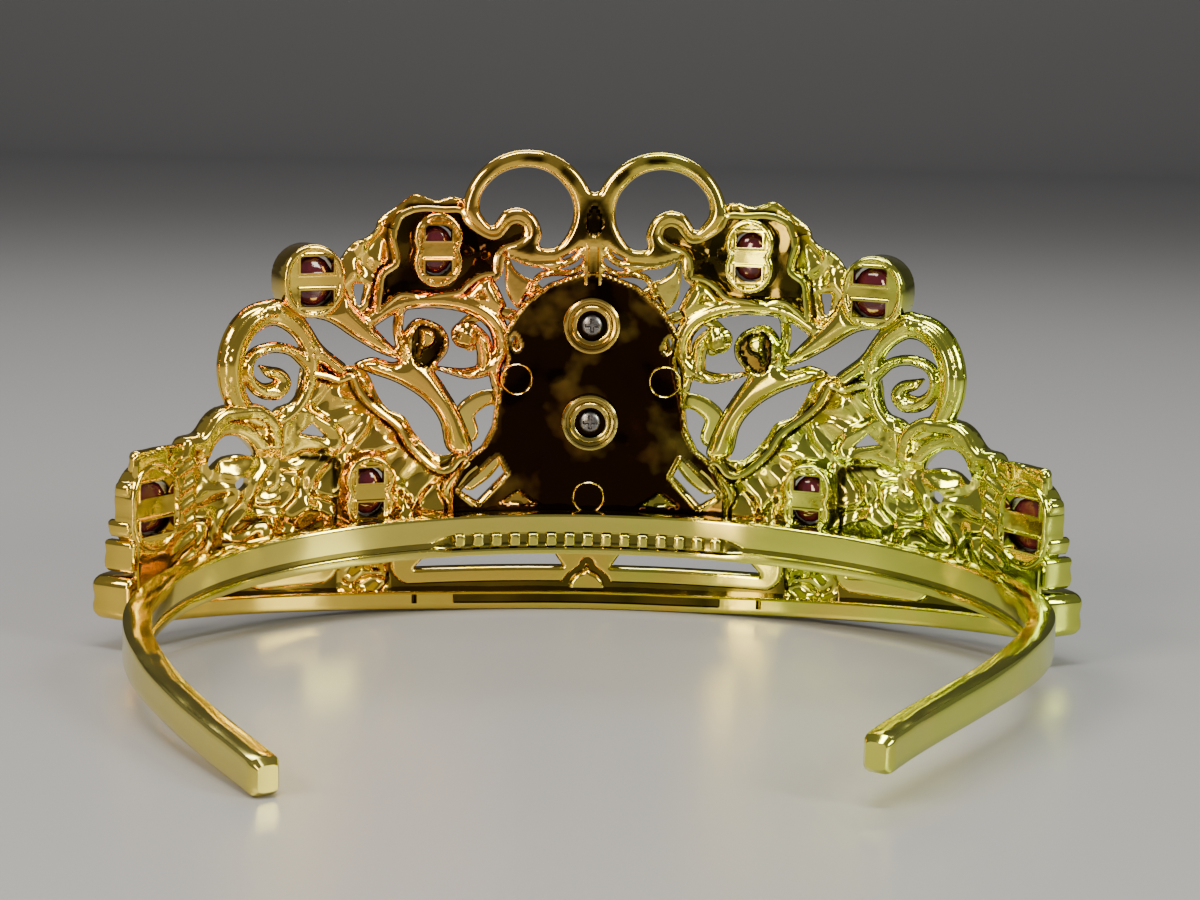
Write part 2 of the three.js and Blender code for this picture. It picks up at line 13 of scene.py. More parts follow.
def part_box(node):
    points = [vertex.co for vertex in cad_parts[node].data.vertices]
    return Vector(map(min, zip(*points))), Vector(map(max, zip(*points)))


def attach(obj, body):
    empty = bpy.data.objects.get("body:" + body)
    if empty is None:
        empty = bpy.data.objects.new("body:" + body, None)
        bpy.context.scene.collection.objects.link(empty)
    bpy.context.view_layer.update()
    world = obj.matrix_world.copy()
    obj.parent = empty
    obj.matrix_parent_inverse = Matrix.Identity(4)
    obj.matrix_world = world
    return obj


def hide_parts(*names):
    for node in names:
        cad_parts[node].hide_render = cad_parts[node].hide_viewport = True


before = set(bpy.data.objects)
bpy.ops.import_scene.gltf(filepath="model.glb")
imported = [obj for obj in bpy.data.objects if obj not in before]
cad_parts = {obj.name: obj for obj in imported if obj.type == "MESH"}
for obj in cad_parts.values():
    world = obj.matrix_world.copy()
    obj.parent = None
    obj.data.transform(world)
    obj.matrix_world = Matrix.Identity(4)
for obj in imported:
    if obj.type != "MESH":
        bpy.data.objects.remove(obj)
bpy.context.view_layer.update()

# Crown panel, scrollwork.
# One moulding of hard plastic, plated gold. Its loose scrolls and arches are strips with a
# half-round back, which run into each other where they touch.

MM = 0.001
PANEL_HALF_WIDTH = 72.0  # half axes of the ellipse that the panel's back follows in plan
PANEL_BEND = 52.0
BAND_GAP = 0.3  # the panel stands this far in front of the head band
panel_back_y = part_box("head_band")[0].y / MM - BAND_GAP

# Arc length along the ellipse, by the angle from its middle
bend_angles = np.linspace(0, math.pi / 2, 2001)
bend_steps = np.hypot(PANEL_HALF_WIDTH * np.cos(bend_angles), PANEL_BEND * np.sin(bend_angles))
bend_spans = (bend_steps[1:] + bend_steps[:-1]) / 2 * np.diff(bend_angles)
bend_lengths = np.append(0, np.cumsum(bend_spans))


def bend(u, z, n):
    """Points of the flat panel, bent round the head.

    The arc length along the ellipse's back gives the angle; the point then stands n out
    from the ellipse, square to it.
    """
    angle = np.sign(u) * np.interp(np.abs(u), bend_lengths, bend_angles)
    across = PANEL_BEND * np.sin(angle)
    forward = PANEL_HALF_WIDTH * np.cos(angle)
    size = np.hypot(across, forward)
    x = PANEL_HALF_WIDTH * np.sin(angle) + n * across / size
    y = PANEL_BEND * (1 - np.cos(angle)) - n * forward / size + panel_back_y
    return np.stack([x, y, z + 0 * n], -1) * MM


def smooth_line(points, closed=False, fine=8):
    """Catmull-Rom curve: between two points, the cubic whose slope at each is half the step
    between its neighbours."""
    p = np.asarray(points, float)
    if closed:
        p = np.concatenate([p[-1:], p, p[:2]])
    else:
        p = np.concatenate([2 * p[:1] - p[1:2], p, 2 * p[-1:] - p[-2:-1]])
    t = np.linspace(0, 1, fine, endpoint=False)[None, :, None]
    a, b, c, d = (p[i:len(p) - 3 + i, None, :] for i in range(4))
    square, cube = 2 * a - 5 * b + 4 * c - d, 3 * b - a - 3 * c + d
    line = 0.5 * (2 * b + (c - a) * t + square * t**2 + cube * t**3)
    line = line.reshape(-1, p.shape[1])
    return line if closed else np.concatenate([line, p[-2:-1]])


def unit(value):
    """The value, held between nought and one."""
    return np.clip(value, 0, 1)


def outline(u, z, points, smooth=True):
    """Distance inside a closed outline: that to its nearest side, negative outside, where a
    ray to the right crosses the sides an even number of times."""
    p = smooth_line(points, closed=True) if smooth else np.asarray(points, float)
    nearest = np.full(u.shape, 1e9)
    inside = np.zeros(u.shape, bool)
    for (u0, z0), (u1, z1) in zip(p, np.roll(p, -1, 0)):
        du, dz = u1 - u0, z1 - z0
        t = unit(((u - u0) * du + (z - z0) * dz) / (du * du + dz * dz + 1e-12))
        nearest = np.minimum(nearest, (u - u0 - t * du) ** 2 + (z - z0 - t * dz) ** 2)
        crosses = (z0 > z) != (z1 > z)
        inside ^= crosses & (u < u0 + (z - z0) * du / (dz if dz else 1))
    return np.where(inside, 1, -1) * np.sqrt(nearest)


def strip(u, z, points, widths):
    """Distance inside a stroke: half its width at the nearest place on its line, less the
    distance to that place."""
    p = smooth_line(points, fine=6)
    half = np.interp(np.linspace(0, 1, len(p)), np.linspace(0, 1, len(widths)), widths) / 2
    best = np.full(u.shape, -1e9)
    for i in range(len(p) - 1):
        (u0, z0), (u1, z1) = p[i], p[i + 1]
        du, dz = u1 - u0, z1 - z0
        t = unit(((u - u0) * du + (z - z0) * dz) / (du * du + dz * dz + 1e-12))
        away = np.hypot(u - u0 - t * du, z - z0 - t * dz)
        best = np.maximum(best, half[i] + (half[i + 1] - half[i]) * t - away)
    return best


def oval(u, z, centre, across, high):
    """Roughly the distance inside an oval: its smaller half axis, times one less the scaled
    distance from its centre."""
    return (1 - np.hypot((u - centre[0]) / across, (z - centre[1]) / high)) * min(across, high)


def disc(u, z, centre, radius):
    """Distance inside a circle."""
    return oval(u, z, centre, radius, radius)


def merge(a, b, soft):
    """The larger of two distances, with a fillet of the given size where they are alike."""
    near = np.maximum(soft - np.abs(a - b), 0) / soft
    return np.maximum(a, b) + near**2 * soft / 4


def rounded(inside, radius):
    """How far a rounded edge falls away: a quarter circle's height, from the radius at the
    edge to nothing one radius inside it."""
    left = radius - np.clip(inside, 0, radius)
    return radius - np.sqrt(np.maximum(radius**2 - left**2, 0))


def lumps(u, z, size):
    """Soft crumpling from nought to one: two sine waves of about the given size that cross,
    their phases pushed about by slower waves."""
    push = 1.6 * np.sin(2.1 * z / size + 0.7) * np.cos(1.7 * u / size)
    push = push + 1.1 * np.sin(1.3 * (u + z) / size)
    one = np.sin(4.6 * (u + 0.35 * z) / size + push)
    two = np.sin(4.1 * (z - 0.5 * u) / size - 1.3 * push + 1.3)
    return 0.5 + 0.25 * (one + two)


# For each of the 16 ways in which a grid cell's four corners can be inside: the polygons kept.
# 0 to 3 are the corners, counterclockwise, and 4 to 7 the cut points on the sides after each.
KEPT = {
    1: [(0, 4, 7)], 2: [(1, 5, 4)], 3: [(0, 1, 5, 7)], 4: [(2, 6, 5)], 5: [(0, 4, 7), (2, 6, 5)],
    6: [(1, 2, 6, 4)], 7: [(0, 1, 2, 6, 7)], 8: [(3, 7, 6)], 9: [(0, 4, 6, 3)],
    10: [(1, 5, 4), (3, 7, 6)], 11: [(0, 1, 5, 6, 3)], 12: [(2, 3, 7, 5)], 13: [(0, 4, 5, 2, 3)],
    14: [(1, 2, 3, 7, 4)], 15: [(0, 1, 2, 3)],
}


def mesh_piece(name, points, faces, material, slot, smooth=35.0):
    """A mesh object from whole arrays of points and of faces that each have 3 or 4 corners.

    Edges sharper than the angle called smooth stay sharp; at nought every face is flat.
    """
    mesh = bpy.data.meshes.new(name)
    counts = np.concatenate([np.full(len(f), f.shape[1]) for f in faces])
    corners = np.concatenate([f.ravel() for f in faces])
    mesh.vertices.add(len(points))
    mesh.vertices.foreach_set("co", np.ascontiguousarray(points, np.float32).ravel())
    mesh.loops.add(len(corners))
    mesh.loops.foreach_set("vertex_index", corners.astype(np.int32))
    mesh.polygons.add(len(counts))
    starts = np.concatenate([[0], np.cumsum(counts)[:-1]])
    mesh.polygons.foreach_set("loop_start", starts.astype(np.int32))
    mesh.update(calc_edges=True)
    mesh.validate()
    if smooth:
        mesh.polygons.foreach_set("use_smooth", np.ones(len(mesh.polygons), bool))
        mesh.set_sharp_from_angle(angle=math.radians(smooth))
    mesh.materials.append(material)
    piece = bpy.data.objects.new(name, mesh)
    bpy.context.scene.collection.objects.link(piece)
    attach(piece, "root")
    return piece


def mark_painted_shade(piece, values):
    """Stores at each point the painted shade of its plating, which the materials read as "deep"."""
    made = piece.data.attributes.new("deep", "FLOAT", "POINT")
    made.data.foreach_set("value", np.asarray(values, np.float32).ravel())


def moulded_plate(name, area, step, inside, back, front, material, slot, node="crown_panel",
                  shade=None, front_painted_shade=0.0):
    """A plate that fills inside(u, z) > 0 between two depths, on both halves of the panel.

    Marching squares: each grid cell keeps the part of it where the distance is positive,
    cut off straight between the points on its sides where the distance, taken as linear, is
    nought. The back and the front share that net, and a wall joins them along its edge.
    The area is that of one half, and the shape stays off its side nearest the middle unless
    that is at nought, because the mirrored half starts there. shade(u, z, inside) gives the
    painted shade on the back's plating, from -1 to 1, and front_painted_shade gives it for
    the front.
    """
    (near, far), (low, high) = area
    columns = np.arange(near, far + step, step)
    mirrored = columns[1:] if near == 0 else columns
    columns = np.concatenate([-mirrored[::-1], columns])
    rows = np.arange(low, high + step, step)
    half, place = np.unique(np.abs(columns).round(6), return_inverse=True)
    depth = inside(*np.meshgrid(half, rows, indexing="ij"))
    least = 0.08 * step  # no grid point lies closer to the edge, so that no face is a sliver
    depth = np.where(np.abs(depth) < least, np.where(depth < 0, -least, least), depth)[place]
    u, z = np.meshgrid(columns, rows, indexing="ij")
    keep = depth > 0
    cut_u = keep[:-1] != keep[1:]
    cut_z = keep[:, :-1] != keep[:, 1:]

    def numbered(mask, start):
        """A number for each place in the mask, counted on from the start, and -1 elsewhere."""
        ids = np.full(mask.shape, -1)
        ids[mask] = start + np.arange(mask.sum())
        return ids

    ids = numbered(keep, 0)
    ids_u = numbered(cut_u, keep.sum())
    ids_z = numbered(cut_z, keep.sum() + cut_u.sum())
    share_u = (depth[:-1] / (depth[:-1] - depth[1:] + 1e-12))[cut_u]
    share_z = (depth[:, :-1] / (depth[:, :-1] - depth[:, 1:] + 1e-12))[cut_z]
    pu = np.concatenate([u[keep], u[:-1][cut_u] + (u[1:] - u[:-1])[cut_u] * share_u,
                         u[:, :-1][cut_z]])
    pz = np.concatenate([z[keep], z[:-1][cut_u], z[:, :-1][cut_z] + step * share_z])
    pd = np.concatenate([depth[keep], np.zeros(cut_u.sum() + cut_z.sum())])

    code = keep[:-1, :-1] * 1 + keep[1:, :-1] * 2 + keep[1:, 1:] * 4 + keep[:-1, 1:] * 8
    corner = np.stack([ids[:-1, :-1], ids[1:, :-1], ids[1:, 1:], ids[:-1, 1:],
                       ids_u[:, :-1], ids_z[1:], ids_u[:, 1:], ids_z[:-1]], -1)
    kept = {3: [], 4: []}
    rim = []
    for case, polygons in KEPT.items():
        cells = corner[code == case]
        for polygon in polygons:
            p = cells[:, polygon]
            if len(polygon) == 5:
                cut = [i for i in range(5) if polygon[i] > 3]
                first = (cut[0] + 1) % 5 if (cut[0] + 1) % 5 in cut else cut[0]
                turn = [(first + k) % 5 for k in range(5)]
                kept[3].append(p[:, [turn[0], turn[1], turn[4]]])
                kept[4].append(p[:, [turn[1], turn[2], turn[3], turn[4]]])
            else:
                kept[len(polygon)].append(p)
            for i in range(len(polygon)):
                j = (i + 1) % len(polygon)
                if polygon[i] > 3 and polygon[j] > 3:
                    rim.append(p[:, [i, j]])
    rim = np.concatenate(rim)
    total = len(pu)
    au = np.abs(pu)
    outer = bend(pu, pz, front(au, pz, pd))
    inner = bend(pu, pz, back(au, pz, pd))
    faces = []
    for size in (3, 4):
        if kept[size]:
            f = np.concatenate(kept[size])
            faces += [f, f[:, ::-1] + total]
    faces.append(np.stack([rim[:, 1], rim[:, 0], rim[:, 0] + total, rim[:, 1] + total], -1))
    piece = mesh_piece(name, np.concatenate([outer, inner]), faces, material, slot)
    if shade:
        mark_painted_shade(piece, np.concatenate([front_painted_shade + 0 * pd, np.clip(shade(au, pz, pd), -1, 1)]))
    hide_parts(node)
    return piece


class Wire:
    """A value in a shader. Arithmetic on it adds the Math node that works it out."""

    def __init__(self, tree, socket):
        self.tree, self.socket = tree, socket

    def put(self, value, target):
        """Links a wire to a socket, or sets the socket to a value."""
        if isinstance(value, Wire):
            self.tree.links.new(value.socket, target)
        else:
            target.default_value = value

    def node(self, kind, settings, inputs, output=0):
        """Any node: its settings are set first, then each of its sockets gets a value or a link."""
        made = self.tree.nodes.new(kind)
        for key, value in settings.items():
            setattr(made, key, value)
        for key, value in inputs.items():
            self.put(value, made.inputs[key])
        return Wire(self.tree, made.outputs[output])

    def maths(self, operation, *values):
        """A Math node on wires and numbers."""
        return self.node("ShaderNodeMath", {"operation": operation}, dict(enumerate(values)))

    def limited(self):
        """The value, held between nought and one."""
        return self.maths("MINIMUM", self.maths("MAXIMUM", self, 0.0), 1.0)

    def __add__(self, other):
        return self.maths("ADD", self, other)

    def __sub__(self, other):
        return self.maths("SUBTRACT", self, other)

    def __rsub__(self, other):
        return self.maths("SUBTRACT", other, self)

    def __mul__(self, other):
        return self.maths("MULTIPLY", self, other)

    def __truediv__(self, other):
        return self.maths("DIVIDE", self, other)

    def __rtruediv__(self, other):
        return self.maths("DIVIDE", other, self)

    __radd__ = __add__
    __rmul__ = __mul__


def new_material(name, metallic):
    """A material, its shader's sockets, and a wire with the place on the object, in metres."""
    material = bpy.data.materials.new(name)
    material.use_nodes = True
    sockets = material.node_tree.nodes["Principled BSDF"].inputs
    sockets["Metallic"].default_value = metallic
    return material, sockets, Wire(material.node_tree, None).node("ShaderNodeTexCoord", {}, {}, 3)


def noise(place, size, detail=2.0):
    """Cloudy noise with blobs of about the given size in metres, from 0 to 1."""
    return place.node("ShaderNodeTexNoise", {}, {"Vector": place, "Scale": 1 / size, "Detail": detail})


def blend(first, second, share):
    """Two colours mixed by a share from 0 to 1."""
    first, second = (c if isinstance(c, Wire) else (*c, 1) for c in (first, second))
    return share.node("ShaderNodeMix", {"data_type": "RGBA", "blend_type": "MIX"},
                      {0: share, 6: first, 7: second}, 2)


def bumped(height, strength, distance):
    """The surface's normal, tilted as if a height of nought to one were that distance."""
    return height.node("ShaderNodeBump", {}, {"Height": height, "Strength": strength,
                                              "Distance": distance})


# The gold's own colour is yellow. Orange and lime are painted reflections of the warm and the cool
# lights, and brown is painted shade and painted dark reflection.
YELLOW, ORANGE_REFLECTION_TINT, LIME_REFLECTION_TINT = (0.82, 0.58, 0.085), (0.92, 0.5, 0.085), (0.62, 0.68, 0.09)
PAINTED_SHADE_BROWN = (0.017, 0.0065, 0.002)
ORANGE_REFLECTION_MIDDLE, ORANGE_REFLECTION_REACH = (0.018, 0.052), 0.026  # the orange patch: across and up, in metres


def plating(name, rough=0.08, wave=0.25, wave_size=0.006, painted_dark_mottle=0.0, yellow=YELLOW):
    """Bright gold plating over moulded plastic.

    It is yellow, with a painted orange reflection of the warm light round the inner scrolls
    and a painted lime reflection of the cool light on the other side, in soft clouds. Brown
    painted shade and painted dark reflection lie where the mesh's attribute "deep" marks
    the hollows and grooves, and painted_dark_mottle adds mottled painted dark over a whole
    piece; below nought the attribute marks plain yellow. Slow waves in the moulding and a
    faint orange peel bend its reflections.
    """
    material, sockets, place = new_material(name, 1.0)
    x, z = (place.node("ShaderNodeSeparateXYZ", {}, {0: place}, axis) for axis in (0, 2))
    cloud = noise(place, 0.011)
    # Painted orange reflection of the warm light, round a patch by the inner scrolls
    across, high = (x - ORANGE_REFLECTION_MIDDLE[0]) / ORANGE_REFLECTION_REACH, (z - ORANGE_REFLECTION_MIDDLE[1]) / ORANGE_REFLECTION_REACH
    away = place.maths("SQRT", across * across + high * high)
    painted_orange_reflection = (1.35 - away + (cloud - 0.5) * 1.6).limited()
    # side: painted lime reflection of the cool light, towards the other side
    side = (x * -16.0 + (cloud - 0.4) * 2.2).limited()
    # deep: painted shade and painted dark reflection, as marked on the mesh; below nought, plain yellow
    deep = place.node("ShaderNodeAttribute", {"attribute_name": "deep"}, {}, 2)
    plain = (deep * -1.0).limited()
    colour = blend(blend(yellow, YELLOW, plain), LIME_REFLECTION_TINT, side)
    colour = blend(colour, ORANGE_REFLECTION_TINT, painted_orange_reflection * 0.85)
    # Painted dark mottling over the whole piece, then painted shade from the mesh, both mixed in as brown
    thin = (1.75 - noise(place, 0.009, 3.0) * 1.6) * painted_dark_mottle
    painted_shade_share = (deep * (0.75 + cloud * 0.4) + thin).limited()
    place.put(blend(colour, PAINTED_SHADE_BROWN, painted_shade_share), sockets["Base Color"])
    place.put(noise(place, 0.004, 3.0) * 0.08 + (rough - 0.03), sockets["Roughness"])
    height = noise(place, wave_size, 1.0) * wave + noise(place, 0.0007, 1.0) * 0.01
    place.put(bumped(height, 0.5, 0.0012), sockets["Normal"])
    return material


bright_gold = plating("bright_gold")
wrinkled_gold = plating("wrinkled_gold", rough=0.1, wave=0.35, wave_size=0.003)
# The centre plate: a darker orange gold under strong, mottled painted dark reflection
painted_dark_gold = plating("painted_dark_gold", rough=0.09, wave=0.9, wave_size=0.009, painted_dark_mottle=0.88,
                      yellow=(0.5, 0.22, 0.045))

ARCH_CENTRE, ARCH_RADIUS = (10.5, 64.2), 10.6
SCROLL_DEPTH = 3.1
ARCH_HOLE = [
    (18.3, 65.5), (17.6, 68.3), (14.8, 71), (10.8, 72), (7, 71), (4.2, 68.2), (3.3, 65), (4, 62),
    (5.6, 59.6), (7.4, 59), (8.6, 59.6), (8.3, 61.6), (9.4, 64.2), (11.8, 65.5), (14.4, 64.9),
    (16.1, 62.6), (17.4, 63.6)]
ARCH_WEB = [(-4, 68), (-4, 59), (4.6, 58.6), (5, 63), (4, 67), (0, 68.1)]
ARCH_FLOOR = [
    (-3, 59.2), (0, 59.2), (1.9, 59.6), (3.4, 58.4), (6, 57), (9.3, 56.8), (12.7, 57.7), (15, 58.8),
    (19, 62), (23, 66), (23, 78), (-3, 78)]
THIN_SCROLLS = [
    ([(13.6, 57.9), (10.5, 56.8), (6.5, 56.4), (3.4, 57.2), (1.6, 59.2)], [0.8, 1.2, 1.3, 1.2, 1.0]),
    ([(9.9, 51.8), (8.8, 54.3), (6.6, 55.1), (3.6, 55.2), (1.4, 56.4)], [0.9, 1.0, 1.1, 1.0, 0.9])]
UPPER_HOLLOW = [
    (29, 64.8), (27, 65), (24, 64.8), (21.6, 64.6), (20.4, 63), (18.6, 61.6), (16.8, 60.7),
    (15.2, 60.8), (14.2, 61.8), (13.4, 62.7), (12.2, 63), (11.2, 62.3), (11.2, 61.2),
    (12.4, 60.2), (14.4, 59.5), (15.8, 58), (16, 56.4), (16.2, 55.2), (18.2, 54.9), (20.3, 53.6),
    (21.8, 52.2), (25, 51.8), (27.5, 51.1), (29, 51.8), (31.2, 51.8), (33, 50.6), (34.2, 50.2),
    (33.9, 52.4), (33.5, 54.6), (31.4, 56.2), (31.2, 58.2), (31.7, 60.2), (31.6, 62), (30.6, 63.8)]
TEARDROP = [(0, 66), (0.9, 64.6), (1.15, 63), (0.8, 61.7), (0, 61.3), (-0.8, 61.7), (-1.15, 63),
            (-0.9, 64.6)]


def arches_inside(u, z):
    """A disc run together with a web, cut off below and pierced by two holes, then joined
    with the stem under it and two thin scrolls."""
    ring = disc(u, z, ARCH_CENTRE, ARCH_RADIUS)
    web = outline(u, z, ARCH_WEB, smooth=False)
    shape = np.minimum(merge(ring, web, 1.2), outline(u, z, ARCH_FLOOR, smooth=False))
    stem = np.minimum(1.7 - u, np.minimum(z - 53, 61 - z))
    shape = merge(shape, stem, 0.8)
    shape = np.minimum(shape, -np.maximum(outline(u, z, ARCH_HOLE), outline(u, z, UPPER_HOLLOW) + 0.3))
    for points, widths in THIN_SCROLLS:
        shape = merge(shape, strip(u, z, points, widths), 0.4)
    return shape


def arches_back(u, z, inside):
    """Half-round edges, a sunk drop between the arches, and a groove down the stem."""
    tear = outline(u, z, TEARDROP)
    groove = 0.6 * unit((0.9 - np.abs(u)) / 0.2) * unit((59.6 - z) / 0.5)
    return rounded(inside, 1.15) * 0.85 + 0.9 * unit(tear / 0.25 + 0.5) + groove


def arches_painted_shade(u, z, inside):
    """Brown: painted shade in the drop, and painted dark reflections mid-arch near the panel's centre."""
    near = unit(2.4 - np.hypot((u - 5) / 8, (z - 66) / 8))
    along = unit(0.6 + 0.9 * np.sin(0.9 * u + 0.5 * z))
    middle = 0.95 * unit((inside - 0.75) / 0.3) * near * along
    return np.maximum(unit(outline(u, z, TEARDROP) / 0.3 + 0.5), middle)


moulded_plate(
    "crown_arches", ((0, 23), (52, 76)), 0.3, arches_inside, arches_back,
    lambda u, z, d: SCROLL_DEPTH - rounded(d, 1.5), bright_gold, "gold_plating", shade=arches_painted_shade)

INNER_RING = [(35.6, 47.6), (31, 50.2), (25, 50.7), (19.4, 49.7), (15.6, 47.2), (14.4, 43.5),
              (15.6, 40.2), (19.4, 38.6), (25, 39.6)]
INNER_WIDTHS = [2.8, 3.0, 3.0, 3.0, 3.2, 2.8, 2.6, 1.9, 0.6]
RING_ROOT = [(21, 51), (18.4, 54), (16.4, 54.9), (15, 52.6), (13.6, 49.6), (15, 48)]
LEAFLET = [(28, 47.6), (25.6, 47.2), (23.8, 46.1), (22.8, 44.2), (23.1, 42), (24.6, 40.2),
           (26, 38.6), (28.6, 39.2), (29.8, 41), (30.2, 43.4), (29.8, 45.8)]
LEAFLET_HOLLOW = [(27.6, 46.8), (25.4, 46.4), (24, 45.4), (23.5, 44), (23.9, 42.4), (25.2, 40.8),
                  (26.4, 39.8), (28.2, 40.2), (29, 41.6), (29.2, 43.4), (28.8, 45.6)]
LEAFLET_BLOB = [(27.6, 46.2), (25.6, 45.9), (24.9, 44.6), (25.6, 43.2), (26.9, 42.6), (27.6, 41.2),
                (28.2, 42.4), (27.8, 44.4)]
BALL = ((20.3, 44.9), 2.15)
NOTCH = [(19.4, 50.7), (17.7, 52.8), (16.6, 50.6)]
LOOP_HOLE = ((51.6, 40.2), 5.1, 6.9)
SPIRAL = [(45.8, 40.8), (48.4, 43), (51.6, 43.7), (54.6, 42.9), (55.9, 40.9), (55.4, 38.6), (53.4, 37),
          (51, 36.9), (49.9, 38), (50.6, 39.3), (52.2, 39.9), (53.6, 40.8)]
SPIRAL_WIDTHS = [2.1, 1.7, 1.7, 1.8, 2.0, 2.0, 2.4, 3.0, 2.8, 2.2, 1.8, 0.6]
UPPER_BLADE = [(44.5, 56), (40.6, 54.4), (38.4, 50.4), (36, 47.6), (33, 44.4), (29.9, 41), (33.6, 42),
               (38, 44.5), (42.4, 47.4), (47.4, 49.1), (47, 54)]
LOWER_BLADE = [(31.6, 40.6), (29, 41.9), (26, 40), (23.2, 36.3), (20.6, 31.7), (18.8, 26.4), (20.6, 25.2),
               (23, 26.4), (24.2, 31), (26.8, 34.4), (31, 37.2), (35.6, 39), (38, 40.4), (35, 41.5)]

CUPS = {  # centre, lobe radius, lobe offset, window half width, window half height, window offset
    "top": ((25, 58.7), 3.95, 2.0, 2.15, 1.25, 2.8),
    "lower": ((35.8, 19.9), 3.95, 2.0, 2.15, 1.25, 2.8),
    "outer": ((45.4, 54), 5.05, 0.75, 2.8, 1.3, 2.65),
    "far": ((74.8, 21.3), 5.3, 1.5, 3.6, 1.2, 2.9),
}
STONE_HALF = {"top": (2.95, 3.9), "lower": (2.95, 3.9), "outer": (3.65, 4.1), "far": (4.2, 4.1)}
STONE_PLACE = {"top": (25, 58.6), "lower": (35.8, 19.9), "outer": (45, 54), "far": (74.8, 21.3)}
CUP_BACK, CUP_WALL, COLLAR_BACK = -0.1, 1.1, 0.8  # depths of the backs' two sides and the collars
SHARED_WALL = 0.5  # how far scrolls and leaves run into a cup's wall
CUP_FRONT = {"top": 5.1, "lower": 5.1, "outer": 5.1, "far": 3.7}


def cup_shape(u, z, name):
    """Two discs, one above the other, run together as a figure of eight."""
    (cu, cz), radius, offset = CUPS[name][:3]
    lobes = [disc(u, z, (cu, cz + k * offset), radius) for k in (1, -1)]
    return merge(*lobes, 0.5)


def clear_of_cups(u, z):
    """How far outside the cups a place is, with part of their walls counted as outside."""
    return SHARED_WALL - np.maximum.reduce([cup_shape(u, z, name) for name in CUPS])


def scrolls_inside(u, z):
    """The ring and its root, the leaflet, the ball on its stalk, the blades, the side loop
    and the spiral in it, run together with small fillets, clear of the cups."""
    shape = strip(u, z, INNER_RING, INNER_WIDTHS)
    shape = merge(shape, outline(u, z, RING_ROOT, smooth=False), 0.6)
    stem = [(30.4, 50), (31, 46), (30.2, 42.4), (28.6, 39.6)]
    shape = merge(shape, strip(u, z, stem, [1.4, 1.6, 1.8, 2.4]), 0.5)
    shape = merge(shape, outline(u, z, LEAFLET), 0.3)
    stalk = [(18.8, 46), (17.5, 44), (17.1, 42), (17.2, 39.6)]
    ball = merge(disc(u, z, *BALL), strip(u, z, stalk, [1.6, 2.6, 2.4, 2.2]), 0.3)
    shape = merge(shape, ball, 0.2)
    blades = np.maximum(outline(u, z, UPPER_BLADE), outline(u, z, LOWER_BLADE))
    shape = merge(shape, blades, 0.5)
    loop = np.minimum(oval(u, z, (52.4, 40.9), 8.6, 10.2), -oval(u, z, *LOOP_HOLE))
    shape = merge(shape, loop, 0.6)
    bridge = [(51, 49.6), (47, 46.2), (44, 42.6), (40.6, 39.8)]
    shape = merge(shape, strip(u, z, bridge, [3.4, 2.8, 2.6, 2.6]), 0.6)
    shape = merge(shape, strip(u, z, SPIRAL, SPIRAL_WIDTHS), 0.2)
    thorn = [(15.4, 40.4), (15.2, 37), (14.6, 33)]
    shape = merge(shape, strip(u, z, thorn, [2.6, 1.6, 0.6]), 0.4)
    return np.minimum(shape, clear_of_cups(u, z))


def scrolls_back(u, z, inside):
    """Half-round edges, with a fine ridge along the side loop. The leaflet is hollow round
    its blob, the ball crumpled and the notch sunk."""
    ridge = 0.35 * np.exp(-((inside - 1.15) / 0.3) ** 2) * (u > 44)
    blob = unit(outline(u, z, LEAFLET_BLOB) / 0.7)
    hollow = unit(outline(u, z, LEAFLET_HOLLOW) / 0.4) * (1 - 0.8 * blob)
    ball = unit(disc(u, z, *BALL) / 0.5)
    notch = unit(outline(u, z, NOTCH, smooth=False) / 0.5)
    crumple = (0.4 + 0.5 * lumps(u, z, 1.3)) * ball
    return rounded(inside, 2.1) * 1.15 * (1 - hollow) + ridge + 1.4 * hollow + crumple + 0.9 * notch


def scrolls_painted_shade(u, z, inside):
    """Brown painted shade in the leaflet's hollow round its blob, and a little on the ball."""
    blob = unit(outline(u, z, LEAFLET_BLOB) / 0.3)
    hollow = unit(outline(u, z, LEAFLET_HOLLOW) / 0.3) * (1 - blob)
    return np.maximum(hollow, 0.45 * unit(disc(u, z, *BALL)))


moulded_plate(
    "crown_scrolls", ((12, 62), (24, 57)), 0.3, scrolls_inside, scrolls_back,
    lambda u, z, d: SCROLL_DEPTH - rounded(d, 1.3), bright_gold, "gold_plating", shade=scrolls_painted_shade)

# Crown panel, leaf shells.
# Two scalloped leaves on each side, thin walls that stand forward of the scrolls, with their
# hollow side to the back. A thin upright rib follows each hollow's border.

SHELL_BACK, SHELL_FRONT = 2.7, 4.5
UPPER_LEAF = [
    (20.6, 66.6), (22.5, 67), (25, 66.4), (28, 67.4), (29.6, 66.6), (32, 64.8), (34, 63.4),
    (34.6, 61.8), (36, 60.6), (38, 59.8), (39.6, 58), (40.6, 56), (40.2, 52.5), (37.2, 48.2),
    (34.5, 48.8), (31, 51), (27.5, 50), (24, 50.4), (20, 51.2), (16.6, 52.6), (14.4, 54.6),
    (13.6, 57.6), (12, 59.4), (10.4, 60.4), (9.6, 62.2), (10.8, 64.2), (13.2, 64.4), (15, 62.4),
    (16.2, 61.6), (18, 63.2), (19.8, 65.6)]
LOWER_LEAF = [
    (46, 41), (41, 40.2), (37.2, 40), (35.3, 38.4), (34, 35.4), (32.2, 32.9), (29.6, 31.6),
    (28, 29), (24.9, 25.6), (22.6, 25.2), (20.8, 26.2), (19.2, 24.4), (21.8, 21.4), (22.6, 19.2),
    (21.6, 16), (21.6, 12), (38, 9.6), (53, 9), (54, 24), (51.6, 33), (47.6, 35.4)]
